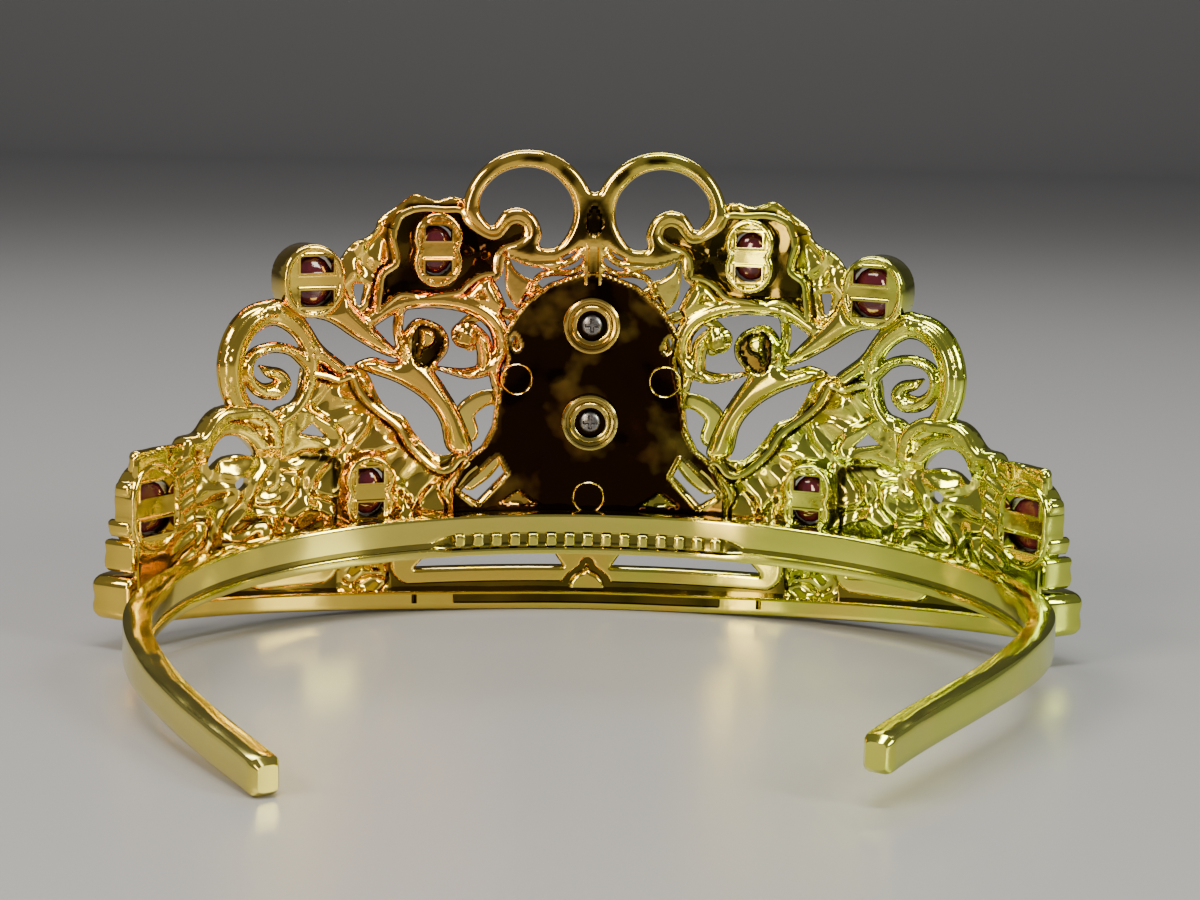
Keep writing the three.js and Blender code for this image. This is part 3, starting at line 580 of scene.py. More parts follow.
UPPER_RIB = [
    (29, 65), (27, 65.2), (24, 65), (21.4, 64.9), (20.4, 63.2), (18.6, 61.8), (16.8, 60.9),
    (15.4, 60.9), (14.4, 61.9), (13.5, 63), (12.2, 63.4), (10.9, 62.6), (10.8, 61), (12.2, 59.9),
    (14.2, 59.2), (15.4, 58), (15.7, 56.4), (15.6, 55)]
LOWER_RIB = [
    (32, 62), (32.1, 60.2), (31.6, 58.2), (31.7, 56.4), (33.8, 54.8), (34.3, 52.4), (34.6, 49),
    (33, 50.2), (31, 51.5), (29, 51.4), (27.5, 50.8), (25, 51.4), (21.6, 51.9), (20, 53.3),
    (18, 54.6), (15.8, 55)]
LEAF_RIB = [
    (45.2, 39.4), (43, 38.9), (41, 38.2), (38.8, 38.6), (37.7, 36.6), (36.4, 34.8), (34.4, 33),
    (31, 30.2), (29.2, 27.2), (26.2, 24.2), (24, 22.9), (22.4, 23.2), (21.2, 24.6), (20.2, 25),
    (19.7, 24), (22, 21.8), (23.2, 19.6), (22.2, 17.4), (22.4, 15)]
EYELID = [(50, 36.6), (46, 34.6), (43, 32.6), (40.2, 30.2), (39.2, 28), (40.6, 26.4), (46, 26.6),
          (51, 26.4)]
LID_GROOVE = [(47, 26), (42.4, 25.4), (40.8, 24.4), (41, 21), (41.2, 17), (41.2, 15)]
PEEPHOLE = [(42.4, 28.8), (47.4, 29.9), (45.1, 31.5)]
SLIT = [(36.2, 53.2), (38.1, 53.3), (37.6, 49.9), (36.9, 49.8)]


def leaves_inside(u, z):
    """The two leaves, clear of the cups, with the peephole and the slit cut out."""
    shape = np.maximum(outline(u, z, UPPER_LEAF), outline(u, z, LOWER_LEAF))
    shape = np.minimum(shape, clear_of_cups(u, z))
    holes = [outline(u, z, points, smooth=False) for points in (PEEPHOLE, SLIT)]
    return np.minimum(shape, -np.maximum(*holes))


def rib_side(u, z):
    """One on a rib and in the groove beside it, and nought a little farther off."""
    lines = [strip(u, z, line, [2.3, 2.3]) for line in (UPPER_RIB, LOWER_RIB, LEAF_RIB)]
    return unit(np.maximum.reduce(lines) / 0.35)


def leaves_back(u, z, inside):
    """The hollow's floor, less its crumpling, the eyelid's lip, a dimple and slow swells."""
    lower = z < 46
    crumple = np.where(lower, 1.2 * lumps(u, z, 3.4), 1.2 * lumps(u, z, 3.8))
    where = np.where(lower, unit((inside - 0.4) / 0.9), unit((u - 32.6) / 1.2))
    where = where * (1 - rib_side(u, z))
    lip = 1.6 * unit(outline(u, z, EYELID) / 1.2 + 0.2)
    dimple = np.exp(-((u - 18.5) ** 2 + (z - 58.2) ** 2) / 2.4)
    swell = 0.3 * np.sin(u * 0.55 + 1) * np.sin(z * 0.5)
    floor = SHELL_BACK - 0.2 + rounded(inside, 0.7) * 0.5
    return floor - crumple * where * (1 - lip / 1.9) - lip - 0.9 * dimple - swell * (1 - where)


def leaves_painted_shade(u, z, inside):
    """Brown painted shade and painted dark reflection: the upper leaf's hollow, the grooves
    beside the ribs and under the lid, and thinly the lower leaf's creases."""
    hollow = unit(outline(u, z, UPPER_HOLLOW) / 0.6 + 0.6)
    gap = unit(strip(u, z, LID_GROOVE, [0.6, 1.3, 1.5, 1.4, 1.2, 0.8]) / 0.3 + 0.5)
    crease = 0.5 * unit(0.9 - 3 * lumps(u, z, 3.4))
    return np.maximum.reduce([np.where(z > 46, hollow, crease), rib_side(u, z), gap])


def leaves_front(u, z, inside):
    """A rounded front, creased by veins that fan out from each leaf's stalk."""
    stalk_u, stalk_z = np.where(z > 46, 16, 24), np.where(z > 46, 52, 6)
    veins = 0.3 * np.cos(22 * np.arctan2(z - stalk_z, u - stalk_u)) * unit(inside - 1)
    return SHELL_FRONT - rounded(inside, 2.2) * 0.75 + np.minimum(veins, 0.0)


moulded_plate("leaf_shells", ((9, 56), (6, 68)), 0.32, leaves_inside, leaves_back, leaves_front,
              wrinkled_gold, "gold_plating", shade=leaves_painted_shade)


def outward(points, faces):
    """The faces, turned round if the volume that they close, summed over them, is negative."""
    total = 0.0
    for f in faces:
        p = points[f]
        for k in range(1, f.shape[1] - 1):
            total += np.einsum("ij,ij->", p[:, 0], np.cross(p[:, k], p[:, k + 1]))
    return [f[:, ::-1] for f in faces] if total < 0 else faces


def with_mirror(points, faces):
    """The same surface on both halves: the copy has x negated and its faces reversed."""
    count = len(points)
    return (np.concatenate([points, points * [-1, 1, 1]]),
            faces + [f[:, ::-1] + count for f in faces])


def tube_faces(rings, around, closed=False):
    """The quads of a grid of rings, and a fan over each end unless the path closes."""
    i = np.arange(rings if closed else rings - 1)[:, None]
    j = np.arange(around)[None]
    a, b = i * around + j, i * around + (j + 1) % around
    c, d = ((i + 1) % rings) * around + (j + 1) % around, ((i + 1) % rings) * around + j
    faces = [np.stack([a, b, c, d], -1).reshape(-1, 4)]
    if not closed:
        k = np.arange(1, around - 1)
        last = (rings - 1) * around
        faces.append(np.stack([0 * k, k + 1, k], -1))
        faces.append(np.stack([last + 0 * k, last + k, last + k + 1], -1))
    return faces


def rib(points, section):
    """A section carried along a line on the flat panel, then bent.

    Each point of the section is (across, depth): across is laid off square to the line, and
    depth from the panel's back.
    """
    line = smooth_line(points, fine=7)
    along = np.gradient(line, axis=0)
    along /= np.linalg.norm(along, axis=1, keepdims=True)
    across, depth = np.asarray(section, float).T
    u = line[:, :1] + along[:, 1:] * across
    z = line[:, 1:] - along[:, :1] * across
    surface = bend(u, z, np.broadcast_to(depth, u.shape)).reshape(-1, 3)
    return surface, outward(surface, tube_faces(len(line), len(section)))


def gathered(parts):
    """Several surfaces as one set of points and faces."""
    start, points, faces = 0, [], []
    for p, fs in parts:
        points.append(p)
        faces += [f + start for f in fs]
        start += len(p)
    return np.concatenate(points), faces


RIB_SECTION = [(-0.62, 4.0), (-0.6, 1.0), (-0.52, 0.6), (-0.35, 0.32), (0, 0.2), (0.35, 0.32),
               (0.52, 0.6), (0.6, 1.0), (0.62, 4.0)]
VEIN_SECTION = [(-0.3, 4), (-0.2, 0.2), (0.2, 0.2), (0.3, 4)]
SHORT_RIB = [(29, 65), (31, 64), (31.9, 62)]
VEIN = [(18.8, 17), (21.2, 19.4), (20, 22), (18.2, 23.6)]
ribs = [rib(line, RIB_SECTION) for line in (UPPER_RIB, LOWER_RIB, LEAF_RIB, SHORT_RIB)]
ribs.append(rib(VEIN, VEIN_SECTION))
leaf_ribs = mesh_piece("leaf_ribs", *with_mirror(*gathered(ribs)), bright_gold, "gold_plating")
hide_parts("crown_panel")

# Stone cups.
# Eight figure-of-eight cups moulded in the panel. Each has a back with two windows, and a
# collar open to the front round its stone.


def cup_back_inside(u, z, name):
    """The cup's shape with its two windows cut out."""
    half, high, pitch = CUPS[name][3:]
    su, sz = STONE_PLACE[name]
    windows = [np.minimum(half - np.abs(u - su), high - np.abs(z - sz - k * pitch))
               for k in (1, -1)]
    return np.minimum(cup_shape(u, z, name), -np.maximum(*windows))


def cup_back_depth(u, z, inside, name):
    """A round outer edge, and a sunk field between the cup's rim and the windows' frames."""
    edge = cup_shape(u, z, name)
    field = unit((inside - 0.3) / 0.12) * unit((edge - 0.75) / 0.15)
    return CUP_BACK + rounded(edge, 0.5) * 0.9 + (0.2 if name == "outer" else 0.4) * field


def collar_inside(u, z, name):
    """The cup's shape with the stone's oval, a little widened, cut out."""
    across, high = (half + 0.1 for half in STONE_HALF[name])
    return np.minimum(cup_shape(u, z, name), -oval(u, z, STONE_PLACE[name], across, high))


for cup, ((cu, cz), radius, offset, *_) in CUPS.items():
    reach = radius + 0.6
    area = ((cu - reach, cu + reach), (cz - offset - reach, cz + offset + reach))
    moulded_plate(f"cup_back_{cup}", area, 0.16, lambda u, z: cup_back_inside(u, z, cup),
                  lambda u, z, d: cup_back_depth(u, z, d, cup), lambda u, z, d: CUP_WALL + 0 * u,
                  bright_gold, "gold_plating")
    # The collar's inner wall round the stone gets painted shade, in brown.
    moulded_plate(f"cup_collar_{cup}", area, 0.2, lambda u, z: collar_inside(u, z, cup),
                  lambda u, z, d: COLLAR_BACK + 0 * u,
                  lambda u, z, d: CUP_FRONT[cup] - rounded(d, 0.5), bright_gold, "gold_plating",
                  shade=lambda u, z, d: 1.0 * (oval(u, z, STONE_PLACE[cup], *STONE_HALF[cup]) > -0.4))

# Stones.
# Cut oval acrylic stones, dark ruby. Flat facets run from a small culet through the
# girdle to the table, each ring turned half a facet from the last.


def seat(u, z, across, up, out):
    """Points about a place on the panel: across and up along its surface, out square to it."""
    foot, tip = bend(np.array([u, u]), np.array([z, z]), np.array([0.0, 1.0]))
    forward = tip - foot
    side = np.array([-forward[1], forward[0], 0])
    return foot + (np.multiply.outer(across, side) + np.multiply.outer(up, [0, 0, MM])
                   + np.multiply.outer(out, forward))


def cut_rings(half, levels, sides):
    """Rings of a stone: each level is (share of the outline, depth), turned half a step from
    the one below it."""
    turn = 2 * math.pi / sides
    angle = (np.arange(sides)[None] + 0.5 * (np.arange(len(levels))[:, None] % 2)) * turn
    share, out = (np.array(levels).T)[:, :, None]
    return half[0] * share * np.cos(angle), half[1] * share * np.sin(angle), out + 0 * angle


def facet_faces(rings, sides):
    """Triangles between half-turned rings, and a flat fan over each end."""
    i, j = np.arange(rings - 1)[:, None], np.arange(sides)[None]
    k = (j + 1) % sides
    odd = i % 2
    a, b, c, d = i * sides + j, i * sides + k, (i + 1) * sides + j, (i + 1) * sides + k
    lower = np.where(odd[..., None], np.stack([a, b, d], -1), np.stack([a, b, c], -1))
    upper = np.where(odd[..., None], np.stack([a, d, c], -1), np.stack([b, d, c], -1))
    n = np.arange(1, sides - 1)
    last = (rings - 1) * sides
    return [lower.reshape(-1, 3), upper.reshape(-1, 3), np.stack([0 * n, n + 1, n], -1),
            np.stack([last + 0 * n, last + n, last + n + 1], -1)]


def ruby_stone(name):
    """Deep red acrylic: darker and lighter in clouds, glossy, with hair-fine scratches."""
    material, sockets, place = new_material(name, 0.15)
    colour = blend((0.03, 0.003, 0.006), (0.13, 0.014, 0.028), noise(place, 0.0025))
    place.put(colour, sockets["Base Color"])
    place.put(noise(place, 0.001) * 0.08 + 0.03, sockets["Roughness"])
    place.put(bumped(noise(place, 0.0004, 3.0), 0.05, 0.0002), sockets["Normal"])
    sockets["Coat Weight"].default_value = 0.5
    sockets["Coat Roughness"].default_value = 0.03
    return material


ruby = ruby_stone("ruby_stone")
STONE_SIDES, STONE_CULET = 14, 1.3  # facets round it, and the depth of its culet
# Levels of a small stone: each has its share of the outline and of the depth
STONE_LEVELS = [(0.5, 0.0), (0.8, 0.06), (0.97, 0.16), (1.0, 0.5), (1.0, 0.6), (0.84, 0.85), (0.55, 1.0)]
for cup, (su, sz) in STONE_PLACE.items():
    levels = [(share, STONE_CULET + (CUP_FRONT[cup] - 0.9) * deep) for share, deep in STONE_LEVELS]
    rings = cut_rings(STONE_HALF[cup], levels, STONE_SIDES)
    for side, word in ((1, "left"), (-1, "right")):
        points = seat(side * su, sz, *rings).reshape(-1, 3)
        faces = outward(points - points.mean(0), facet_faces(len(levels), STONE_SIDES))
        stone = mesh_piece(f"cut_stone_{cup}_{word}", points, faces, ruby, "red_stone", 0)
        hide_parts(f"stone_{cup}_{word}")

# Centre plate.
# A plain polished plate behind the medallion, with two stepped screw bosses, three small
# locating rings, and openings at its shoulders and foot.

PLATE_FRONT = 2.3
PLATE = [(-3, 55.4), (0, 55.4), (2, 55.2), (7, 53.4), (10.8, 50.4), (12.6, 48), (14.4, 45), (13.6, 41.4),
         (15, 36), (15.8, 30), (17.4, 26.8), (20.6, 24.4), (22.6, 20.4), (22.6, 12), (-3, 12)]
FOOT_SLOT = [(20.8, 19.6), (18, 17.8), (13.7, 22.3), (15, 25)]
FOOT_FACET = [(14.5, 17.4), (11.5, 19.6), (8, 17)]
SHOULDER_SLOT = [(12.3, 45), (12.9, 44.2), (12.1, 42.5), (11.6, 43.4)]
SCREW_ROWS = {"upper": 46.8, "lower": 31.0}
RINGS = [((12, 37.9), 2.45), ((0, 18.6), 2.5)]


def plate_inside(u, z):
    """The plate's outline with its slots and the two screw holes cut out."""
    shape = outline(u, z, PLATE, smooth=False)
    cut = np.maximum(outline(u, z, FOOT_SLOT, smooth=False), outline(u, z, SHOULDER_SLOT))
    for row in SCREW_ROWS.values():
        cut = np.maximum(cut, disc(u, z, (0, row), 3.0))
    return np.minimum(shape, -cut)


def plate_back(u, z, inside):
    """A nearly flat back with slow swells, a raised lip, a raised line round the foot slot,
    and a sunk facet."""
    facet = 0.6 * unit(outline(u, z, FOOT_FACET, smooth=False) / 0.3 + 0.5)
    frame_line = np.exp(-((outline(u, z, FOOT_SLOT, smooth=False) + 0.45) / 0.2) ** 2)
    swell = 0.14 * np.cos(u * 0.3 + 0.8 + 0.05 * z) * np.cos(z * 0.27 + 1.0)
    swell = swell + 0.05 * np.sin(u * 0.9) * np.sin(z * 0.7 + u * 0.3)
    lip = np.exp(-((outline(u, z, PLATE, smooth=False) - 0.35) / 0.22) ** 2)
    return 0.25 + rounded(inside, 0.4) * 0.5 + facet - 0.3 * frame_line - 0.3 * lip + swell


def plate_painted_shade(u, z, inside):
    """Nearly all of the plate gets brown painted dark reflection; its lip, the slot's border and the
    facet stay gold.
    """
    slot = outline(u, z, FOOT_SLOT, smooth=False)
    gold = np.maximum(inside < 0.55, (slot > -0.9) & (slot < 0))
    return np.where(gold, -0.5, np.where(outline(u, z, FOOT_FACET, smooth=False) > 0, -0.35, 0.2))


moulded_plate("centre_plate", ((0, 24), (12.2, 56)), 0.3, plate_inside, plate_back,
              lambda u, z, d: PLATE_FRONT - rounded(d, 0.4), painted_dark_gold, "gold_plating",
              shade=plate_painted_shade, front_painted_shade=-1.0)


def turned(centre, profile, sides):
    """A closed profile of (radius, depth) turned about a line square to the panel."""
    radius, depth = np.asarray(profile, float).T
    angle = np.linspace(0, 2 * math.pi, sides, endpoint=False)[:, None]
    points = seat(*centre, radius * np.cos(angle), radius * np.sin(angle), depth + 0 * angle)
    points = points.reshape(-1, 3)
    return points, outward(points - points.mean(0), tube_faces(sides, len(profile), closed=True))


# A boss: radius, depth, and the painted shade of its plating there
BOSS_PROFILE = [
    (1.15, 1.9, 1), (4.6, 1.9, 1), (4.65, -0.5, 0), (4.5, -0.85, 0), (4.2, -1.0, 0), (3.95, -0.9, 0),
    (3.8, -0.5, 0.25), (3.45, -0.42, 0.25), (3.3, -0.7, 0), (3.1, -0.85, 0), (2.75, -0.85, 0),
    (2.5, -0.7, 0), (2.42, -0.4, 1), (2.4, 0.95, 1), (1.15, 0.98, 1)]
BOSS_SIDES = 72
# A locating ring's profile, shifted until its crest has the ring's own radius
RING_CREST, RING_SIDES = 1.12, 48
RING_PROFILE = [(0.92, 0.9), (0.92, 0.0), (1.0, -0.25), (RING_CREST, -0.35), (1.24, -0.25),
                (1.32, 0.0), (1.32, 0.9)]
boss_line, boss_painted_shade = np.split(np.array(BOSS_PROFILE, float), [2], axis=1)
bosses = [turned((0, row), boss_line, BOSS_SIDES) for row in SCREW_ROWS.values()]
rings = []
for (cu, cz), radius in RINGS:
    profile = [(r - RING_CREST + radius, n) for r, n in RING_PROFILE]
    sides = (1, -1) if cu else (1,)
    rings += [turned((side * cu, cz), profile, RING_SIDES) for side in sides]
# Olive gold, with light mottled painted dark
olive_boss = plating("olive_boss", rough=0.14, wave=0.3, wave_size=0.004, painted_dark_mottle=0.25,
                     yellow=(0.6, 0.48, 0.12))
screw_bosses = mesh_piece("screw_bosses", *gathered(bosses), olive_boss, "gold_plating")
# Painted shade, in brown, in each boss's hole and groove
mark_painted_shade(screw_bosses, np.tile(boss_painted_shade.ravel(), len(bosses) * BOSS_SIDES))
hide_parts("crown_panel")
locating_rings = mesh_piece("locating_rings", *gathered(rings), bright_gold, "gold_plating")
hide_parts("crown_panel")

# Screws.
# Two small pan-head screws with a cross recess, zinc grey, seated in the bosses.

SCREW_HEAD, SCREW_SHANK = 1.78, 0.85  # radii
SCREW_BACK, SCREW_SEAT = -0.5, 0.68  # depths of the head's middle and of its underside
DOME_RINGS, SCREW_SPOKES = 22, 96
RECESS_ARM, RECESS_REACH, RECESS_DEPTH = 0.3, 1.15, 0.75


def zinc(name):
    """Grey zinc plating, mottled, with a fine grain."""
    material, sockets, place = new_material(name, 1.0)
    colour = blend((0.13, 0.12, 0.12), (0.36, 0.35, 0.35), noise(place, 0.0008, 4.0))
    place.put(colour, sockets["Base Color"])
    place.put(noise(place, 0.0005) * 0.2 + 0.22, sockets["Roughness"])
    place.put(bumped(noise(place, 0.0003), 0.3, 0.0001), sockets["Normal"])
    return material


def screw_surface(row):
    """A screw's head and shank: spokes about its axis, each a line from the head's middle
    over its edge and down the shank.

    The dome falls away as the fourth power of the radius. The recess is sunk where a place
    is near one of the cross's two axes and not too far out.
    """
    shank = [SCREW_HEAD, SCREW_HEAD, SCREW_SHANK, SCREW_SHANK, 0.05]
    shank_depth = [0.1, SCREW_SEAT, SCREW_SEAT, 5.2, 6.0]
    radius = np.concatenate([np.linspace(0.02, SCREW_HEAD, DOME_RINGS), shank])
    turn = np.linspace(0, 2 * math.pi, SCREW_SPOKES, endpoint=False)[:, None]
    across, up = radius * np.cos(turn), radius * np.sin(turn)
    arm = np.minimum(np.abs(across), np.abs(up))
    reach = np.maximum(np.abs(across), np.abs(up))
    cross = unit((RECESS_ARM - arm) / 0.12) * unit((RECESS_REACH - reach) / 0.2)
    depth = SCREW_BACK + 0.55 * (radius / SCREW_HEAD) ** 4 + RECESS_DEPTH * cross
    depth[:, DOME_RINGS:] = shank_depth
    points = seat(0, row, across, up, depth).reshape(-1, 3)
    many = len(radius)
    i, j = np.arange(SCREW_SPOKES)[:, None], np.arange(many - 1)[None]
    k = (i + 1) % SCREW_SPOKES
    quads = np.stack([i * many + j, i * many + j + 1, k * many + j + 1, k * many + j], -1)
    n = np.arange(1, SCREW_SPOKES - 1)
    caps = [np.stack([0 * n, n * many, (n + 1) * many], -1),
            np.stack([0 * n, (n + 1) * many, n * many], -1) + many - 1]
    return points, outward(points - points.mean(0), [quads.reshape(-1, 4), *caps])


zinc_grey = zinc("zinc_grey")
for word, row in SCREW_ROWS.items():
    screw = mesh_piece(f"cross_screw_{word}", *screw_surface(row), zinc_grey, "screw_steel", 30)
    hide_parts(f"screw_{word}")

# Rim and base wall.
# The rim is a thick strip along the foot. Above it a low wall carries long rounded pads,
# each pierced by a slot, with a narrow groove round them.

RIM_RISE, RIM_FLAT, RIM_RISEN, RIM_END = 2.8, 12.0, 65.0, 78.0
# The rim's section: height and depth; its fifth and sixth points are the trough's floor
RIM_SECTION = [
    (0.0, -0.4), (0.2, -0.85), (0.5, -1.0), (1.1, -1.0), (1.25, -1.0), (2.45, -1.0), (2.6, -1.0),
    (2.8, -0.85), (3.0, -0.6), (3.0, 2.9), (2.7, 3.3), (0.3, 3.3), (0.0, 3.0)]
TROUGH_FLOOR = (4, 5)
RIM_TROUGH, RIM_BLOCK = 0.65, (22.2, 28.6)  # its depth, and where the block in it starts and ends


def rim_under(u):
    """The rim's underside: flat in the middle, then rising as a power of the distance."""
    return RIM_RISE * (np.maximum(0, np.abs(u) - RIM_FLAT) / (RIM_RISEN - RIM_FLAT)) ** 1.7


rim_u = np.linspace(-RIM_END, RIM_END, 521)[:, None]
up, depth = np.asarray(RIM_SECTION).T
trough = (np.abs(rim_u) < RIM_BLOCK[0]) | (np.abs(np.abs(rim_u) - RIM_BLOCK[1]) < 0.25)
in_trough = trough * np.isin(np.arange(len(up)), TROUGH_FLOOR)
rim_points = bend(rim_u + 0 * up, rim_under(rim_u) + up, depth + RIM_TROUGH * in_trough).reshape(-1, 3)
rim_faces = outward(rim_points, tube_faces(len(rim_u), len(up)))
rim = mesh_piece("rim_strip", rim_points, rim_faces, bright_gold, "gold_plating")
# Painted shade, in brown, on the trough's floor
mark_painted_shade(rim, 0.95 * in_trough)
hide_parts("crown_panel")

LONG_SLOT = [(3.9, 7), (28.4, 7), (25, 10.6), (6.4, 10.6)]
SHORT_SLOT = [(43.2, 8.4), (56, 9.4), (54, 11.4), (44.5, 11)]


def slots(u, z):
    """Distance inside a long or a short slot."""
    return np.maximum(outline(u, z, LONG_SLOT, smooth=False), outline(u, z, SHORT_SLOT, smooth=False))


def wall_top(u):
    """The wall's top edge: a parabola, hidden behind the band, which sinks to the sides."""
    return 14.6 - 0.0011 * u**2


def wall_inside(u, z):
    """The wall from the rim to its hidden top edge, with the slots cut out."""
    wall = np.minimum(z - rim_under(u) - 1.4, np.minimum(wall_top(u) - z, RIM_END - u))
    return np.minimum(wall, -slots(u, z))


def pad(u, z, middle, half, low, high, corner):
    """Distance inside a rectangle with rounded corners."""
    du = np.abs(u - middle) - half + corner
    dz = np.abs(z - (low + high) / 2) - (high - low) / 2 + corner
    outside = np.hypot(np.maximum(du, 0), np.maximum(dz, 0))
    return corner - outside - np.minimum(np.maximum(du, dz), 0)


def pads_inside(u, z):
    """The long and the short pads below the wall's hidden edge. A round bay parts the long
    two in the middle, with a tongue in it, and the slots are cut out."""
    bay = strip(u, z, [(0, 2.4), (0, 4.6), (0, 6), (0, 7.4)], [9, 5.2, 3.0, 2.0])
    long_pad = np.minimum(pad(u, z, 0, 32.2, 4.35, 20, 3.4), -bay)
    short_pad = pad(u, z, 49.2, 8.2, 5.5, 20, 3.2)
    tongue = strip(u, z, [(0, 3), (0, 4.6), (0, 6), (0, 7.2)], [6.4, 3.0, 1.2, 0.4])
    pads = np.maximum.reduce([long_pad, short_pad, tongue])
    return np.minimum(np.minimum(pads, wall_top(u) - 0.3 - z), -slots(u, z))


BETWEEN_PADS = 36.7  # middle of the bare stretch of wall between a long pad and a short one


def wall_back(u, z, inside):
    """Flat behind the pads, and crumpled on the bare stretch."""
    bare = unit(4.5 - np.abs(u - BETWEEN_PADS))
    return 1.3 - 1.5 * lumps(u, z, 2.6) * bare


# The wall is brown with painted shade everywhere but the bare stretch, so the groove round the pads and
# the slots look shaded.
moulded_plate("base_wall", ((0, 79), (1, 17)), 0.34, wall_inside, wall_back,
              lambda u, z, d: 2.4 - rounded(d, 0.4), bright_gold, "gold_plating",
              shade=lambda u, z, d: 0.9 * (np.abs(u - BETWEEN_PADS) > 4.2))
moulded_plate("base_pads", ((0, 60), (3.5, 16.5)), 0.3, pads_inside,
              lambda u, z, d: rounded(d, 0.6), lambda u, z, d: 2.0 + 0 * u, bright_gold,
              "gold_plating")

# Crown panel, side loops and ends.
# A second pierced loop low on each side, hammered inside, runs into the thick stepped end
# that holds the last cup.

SIDE_LOOP = [(68.4, 30.2), (65, 31.4), (62.8, 33.8), (60.6, 35), (57, 35.2), (53.4, 34.6), (50.4, 31),
             (50.6, 22), (51, 9), (69, 9), (70, 22)]
SIDE_HOLE = [(62.8, 25.4), (63, 28.4), (61, 30.4), (58.6, 30.4), (56.2, 29), (54.6, 26.7),
             (57, 27.2), (60, 27)]
SHELF_END = [(66, 30.4), (73, 30.3), (79, 29), (82, 20), (82, 5), (66, 5)]
END_START = 66
END_LOBES = {  # low, high, start, reach, front, corner
    "shelf": (6.4, 30.4, 60, 78.8, 2.5, 2.0),
    "top": (26.5, 30.3, 68, 78.8, 2.7, 1.2),
    "upper": (23.1, 25.9, 68, 80.4, 4.1, 1.3),
    "middle": (17.3, 20.1, 68, 80.4, 5.1, 1.0),
    "step": (11.9, 16.7, 71, 79.8, 6.1, 0.7),
    "foot": (4.5, 11.3, 70.5, 80.8, 7.9, 1.6),
}


def side_inside(u, z):
    """The loop's outline with its hole and a small oval cut out, clear of the cups."""
    hole = np.maximum(outline(u, z, SIDE_HOLE), oval(u, z, (57.3, 22.7), 1.3, 1.1))
    return np.minimum(np.minimum(outline(u, z, SIDE_LOOP), -hole), clear_of_cups(u, z))


def side_back(u, z, inside):
    """A crumpled floor with a soft knob; above, a half-round ring follows the edges."""
    ring = unit((2.6 - inside) / 0.5) * unit((z - 26.5) / 1.5)
    knob = 0.8 * unit(1 - np.hypot((u - 58) / 5.5, (z - 23) / 4.5))
    floor = 2.1 - 0.75 * lumps(u, z, 3.2) - knob
    return floor * (1 - ring) + rounded(inside, 1.1) * 0.8 * ring


# Painted shade in brown in the creases of the crumpled floor
moulded_plate("side_loops", ((48, 73), (6, 36)), 0.28, side_inside, side_back,
              lambda u, z, d: 4.2 - rounded(d, 1.4), wrinkled_gold, "gold_plating",
              shade=lambda u, z, d: unit(1 - 2.6 * lumps(u, z, 3.2)) * (d > 2.4))


def lobe_inside(u, z, name):
    """Distance inside a lobe: a rectangle with round corners, clear of the cup."""
    low, high, start, reach, _, corner = END_LOBES[name]
    shape = pad(u, z, (start + reach) / 2, (reach - start) / 2, low, high, corner)
    if name == "shelf":
        shape = np.minimum(shape, outline(u, z, SHELF_END, smooth=False))
    return np.minimum(np.minimum(shape, u - END_START), clear_of_cups(u, z))


def shelf_back(u, z, inside):
    """A rounded edge, and sloping ridges on the side towards the middle."""
    ridges = 0.5 * np.abs(np.sin(z * 1.1 + u * 0.5)) * unit((72 - u) / 3)
    return rounded(inside, 0.5) + 0.3 + ridges


for lobe, (low, high, _, _, front, corner) in END_LOBES.items():
    moulded_plate(
        f"end_lobe_{lobe}", ((65, 82), (low - 1, high + 1)), 0.3,
        lambda u, z: lobe_inside(u, z, lobe),
        shelf_back if lobe == "shelf" else lambda u, z, d: 0.5 + rounded(d, 0.6),
        lambda u, z, d: front - 0.25 - rounded(d, corner) * 0.8 + 0.15 * np.cos(1.9 * z + 1.1 * u),
        bright_gold, "gold_plating")

# Head band.
# A springy open hoop of the same plated plastic. Its section is a rounded bar, stepped inside
# at the front, where a row of small teeth grips the hair, and plain at the two arms.

BAND_THICK = 4.0
BAND_HEIGHT, BAND_TIP_HEIGHT = 6.6, 5.0
BAND_HALF_WIDTH, BAND_DEPTH, BAND_LENGTH = 62.5, 45.0, 100.0
TIP_HALF_GAP = 38.0
TIP_ROUND, TIP_TAPER = 1.5, 0.32  # length of the rounding at a tip, and the share it takes off
ARM_START, ARM_END, ARM_TURN = 0.17, 0.18, 0.31  # pulls of the arm's curve, as shares
FRONT_RISE, RIGHT_LIFT, RIGHT_INSET = 10.0, 4.2, 5.5
LIP_START, LIP_OVER = 22.5, 3.0  # sideways, where the teeth's groove turns into the lip
PLAIN_START, PLAIN_OVER = 0.62, 0.12  # share of the way back, where the section turns plain
band_inside_y = panel_back_y + BAND_GAP + BAND_THICK


def band_line(tip_half_gap, count=90, arm_count=70):
    """Half of the band's middle line: a quarter ellipse to the widest place, then a cubic
    Bezier curve that eases in towards the tip."""
    mid = BAND_THICK / 2
    angle = np.linspace(0, math.pi / 2, count)
    front = np.stack([(BAND_HALF_WIDTH + mid) * np.sin(angle),
                      band_inside_y + BAND_DEPTH - (BAND_DEPTH + mid) * np.cos(angle)], -1)
    wide = front[-1]
    tip = np.array([tip_half_gap + mid * 0.8, band_inside_y + BAND_LENGTH])
    t = np.linspace(0, 1, arm_count)[1:, None]
    first = wide + [0, BAND_LENGTH * ARM_START]
    second = tip + [tip_half_gap * ARM_TURN, -BAND_LENGTH * ARM_END]
    arm = (1 - t) ** 3 * wide + 3 * (1 - t) ** 2 * t * first + 3 * (1 - t) * t**2 * second + t**3 * tip
    return np.concatenate([front, arm])


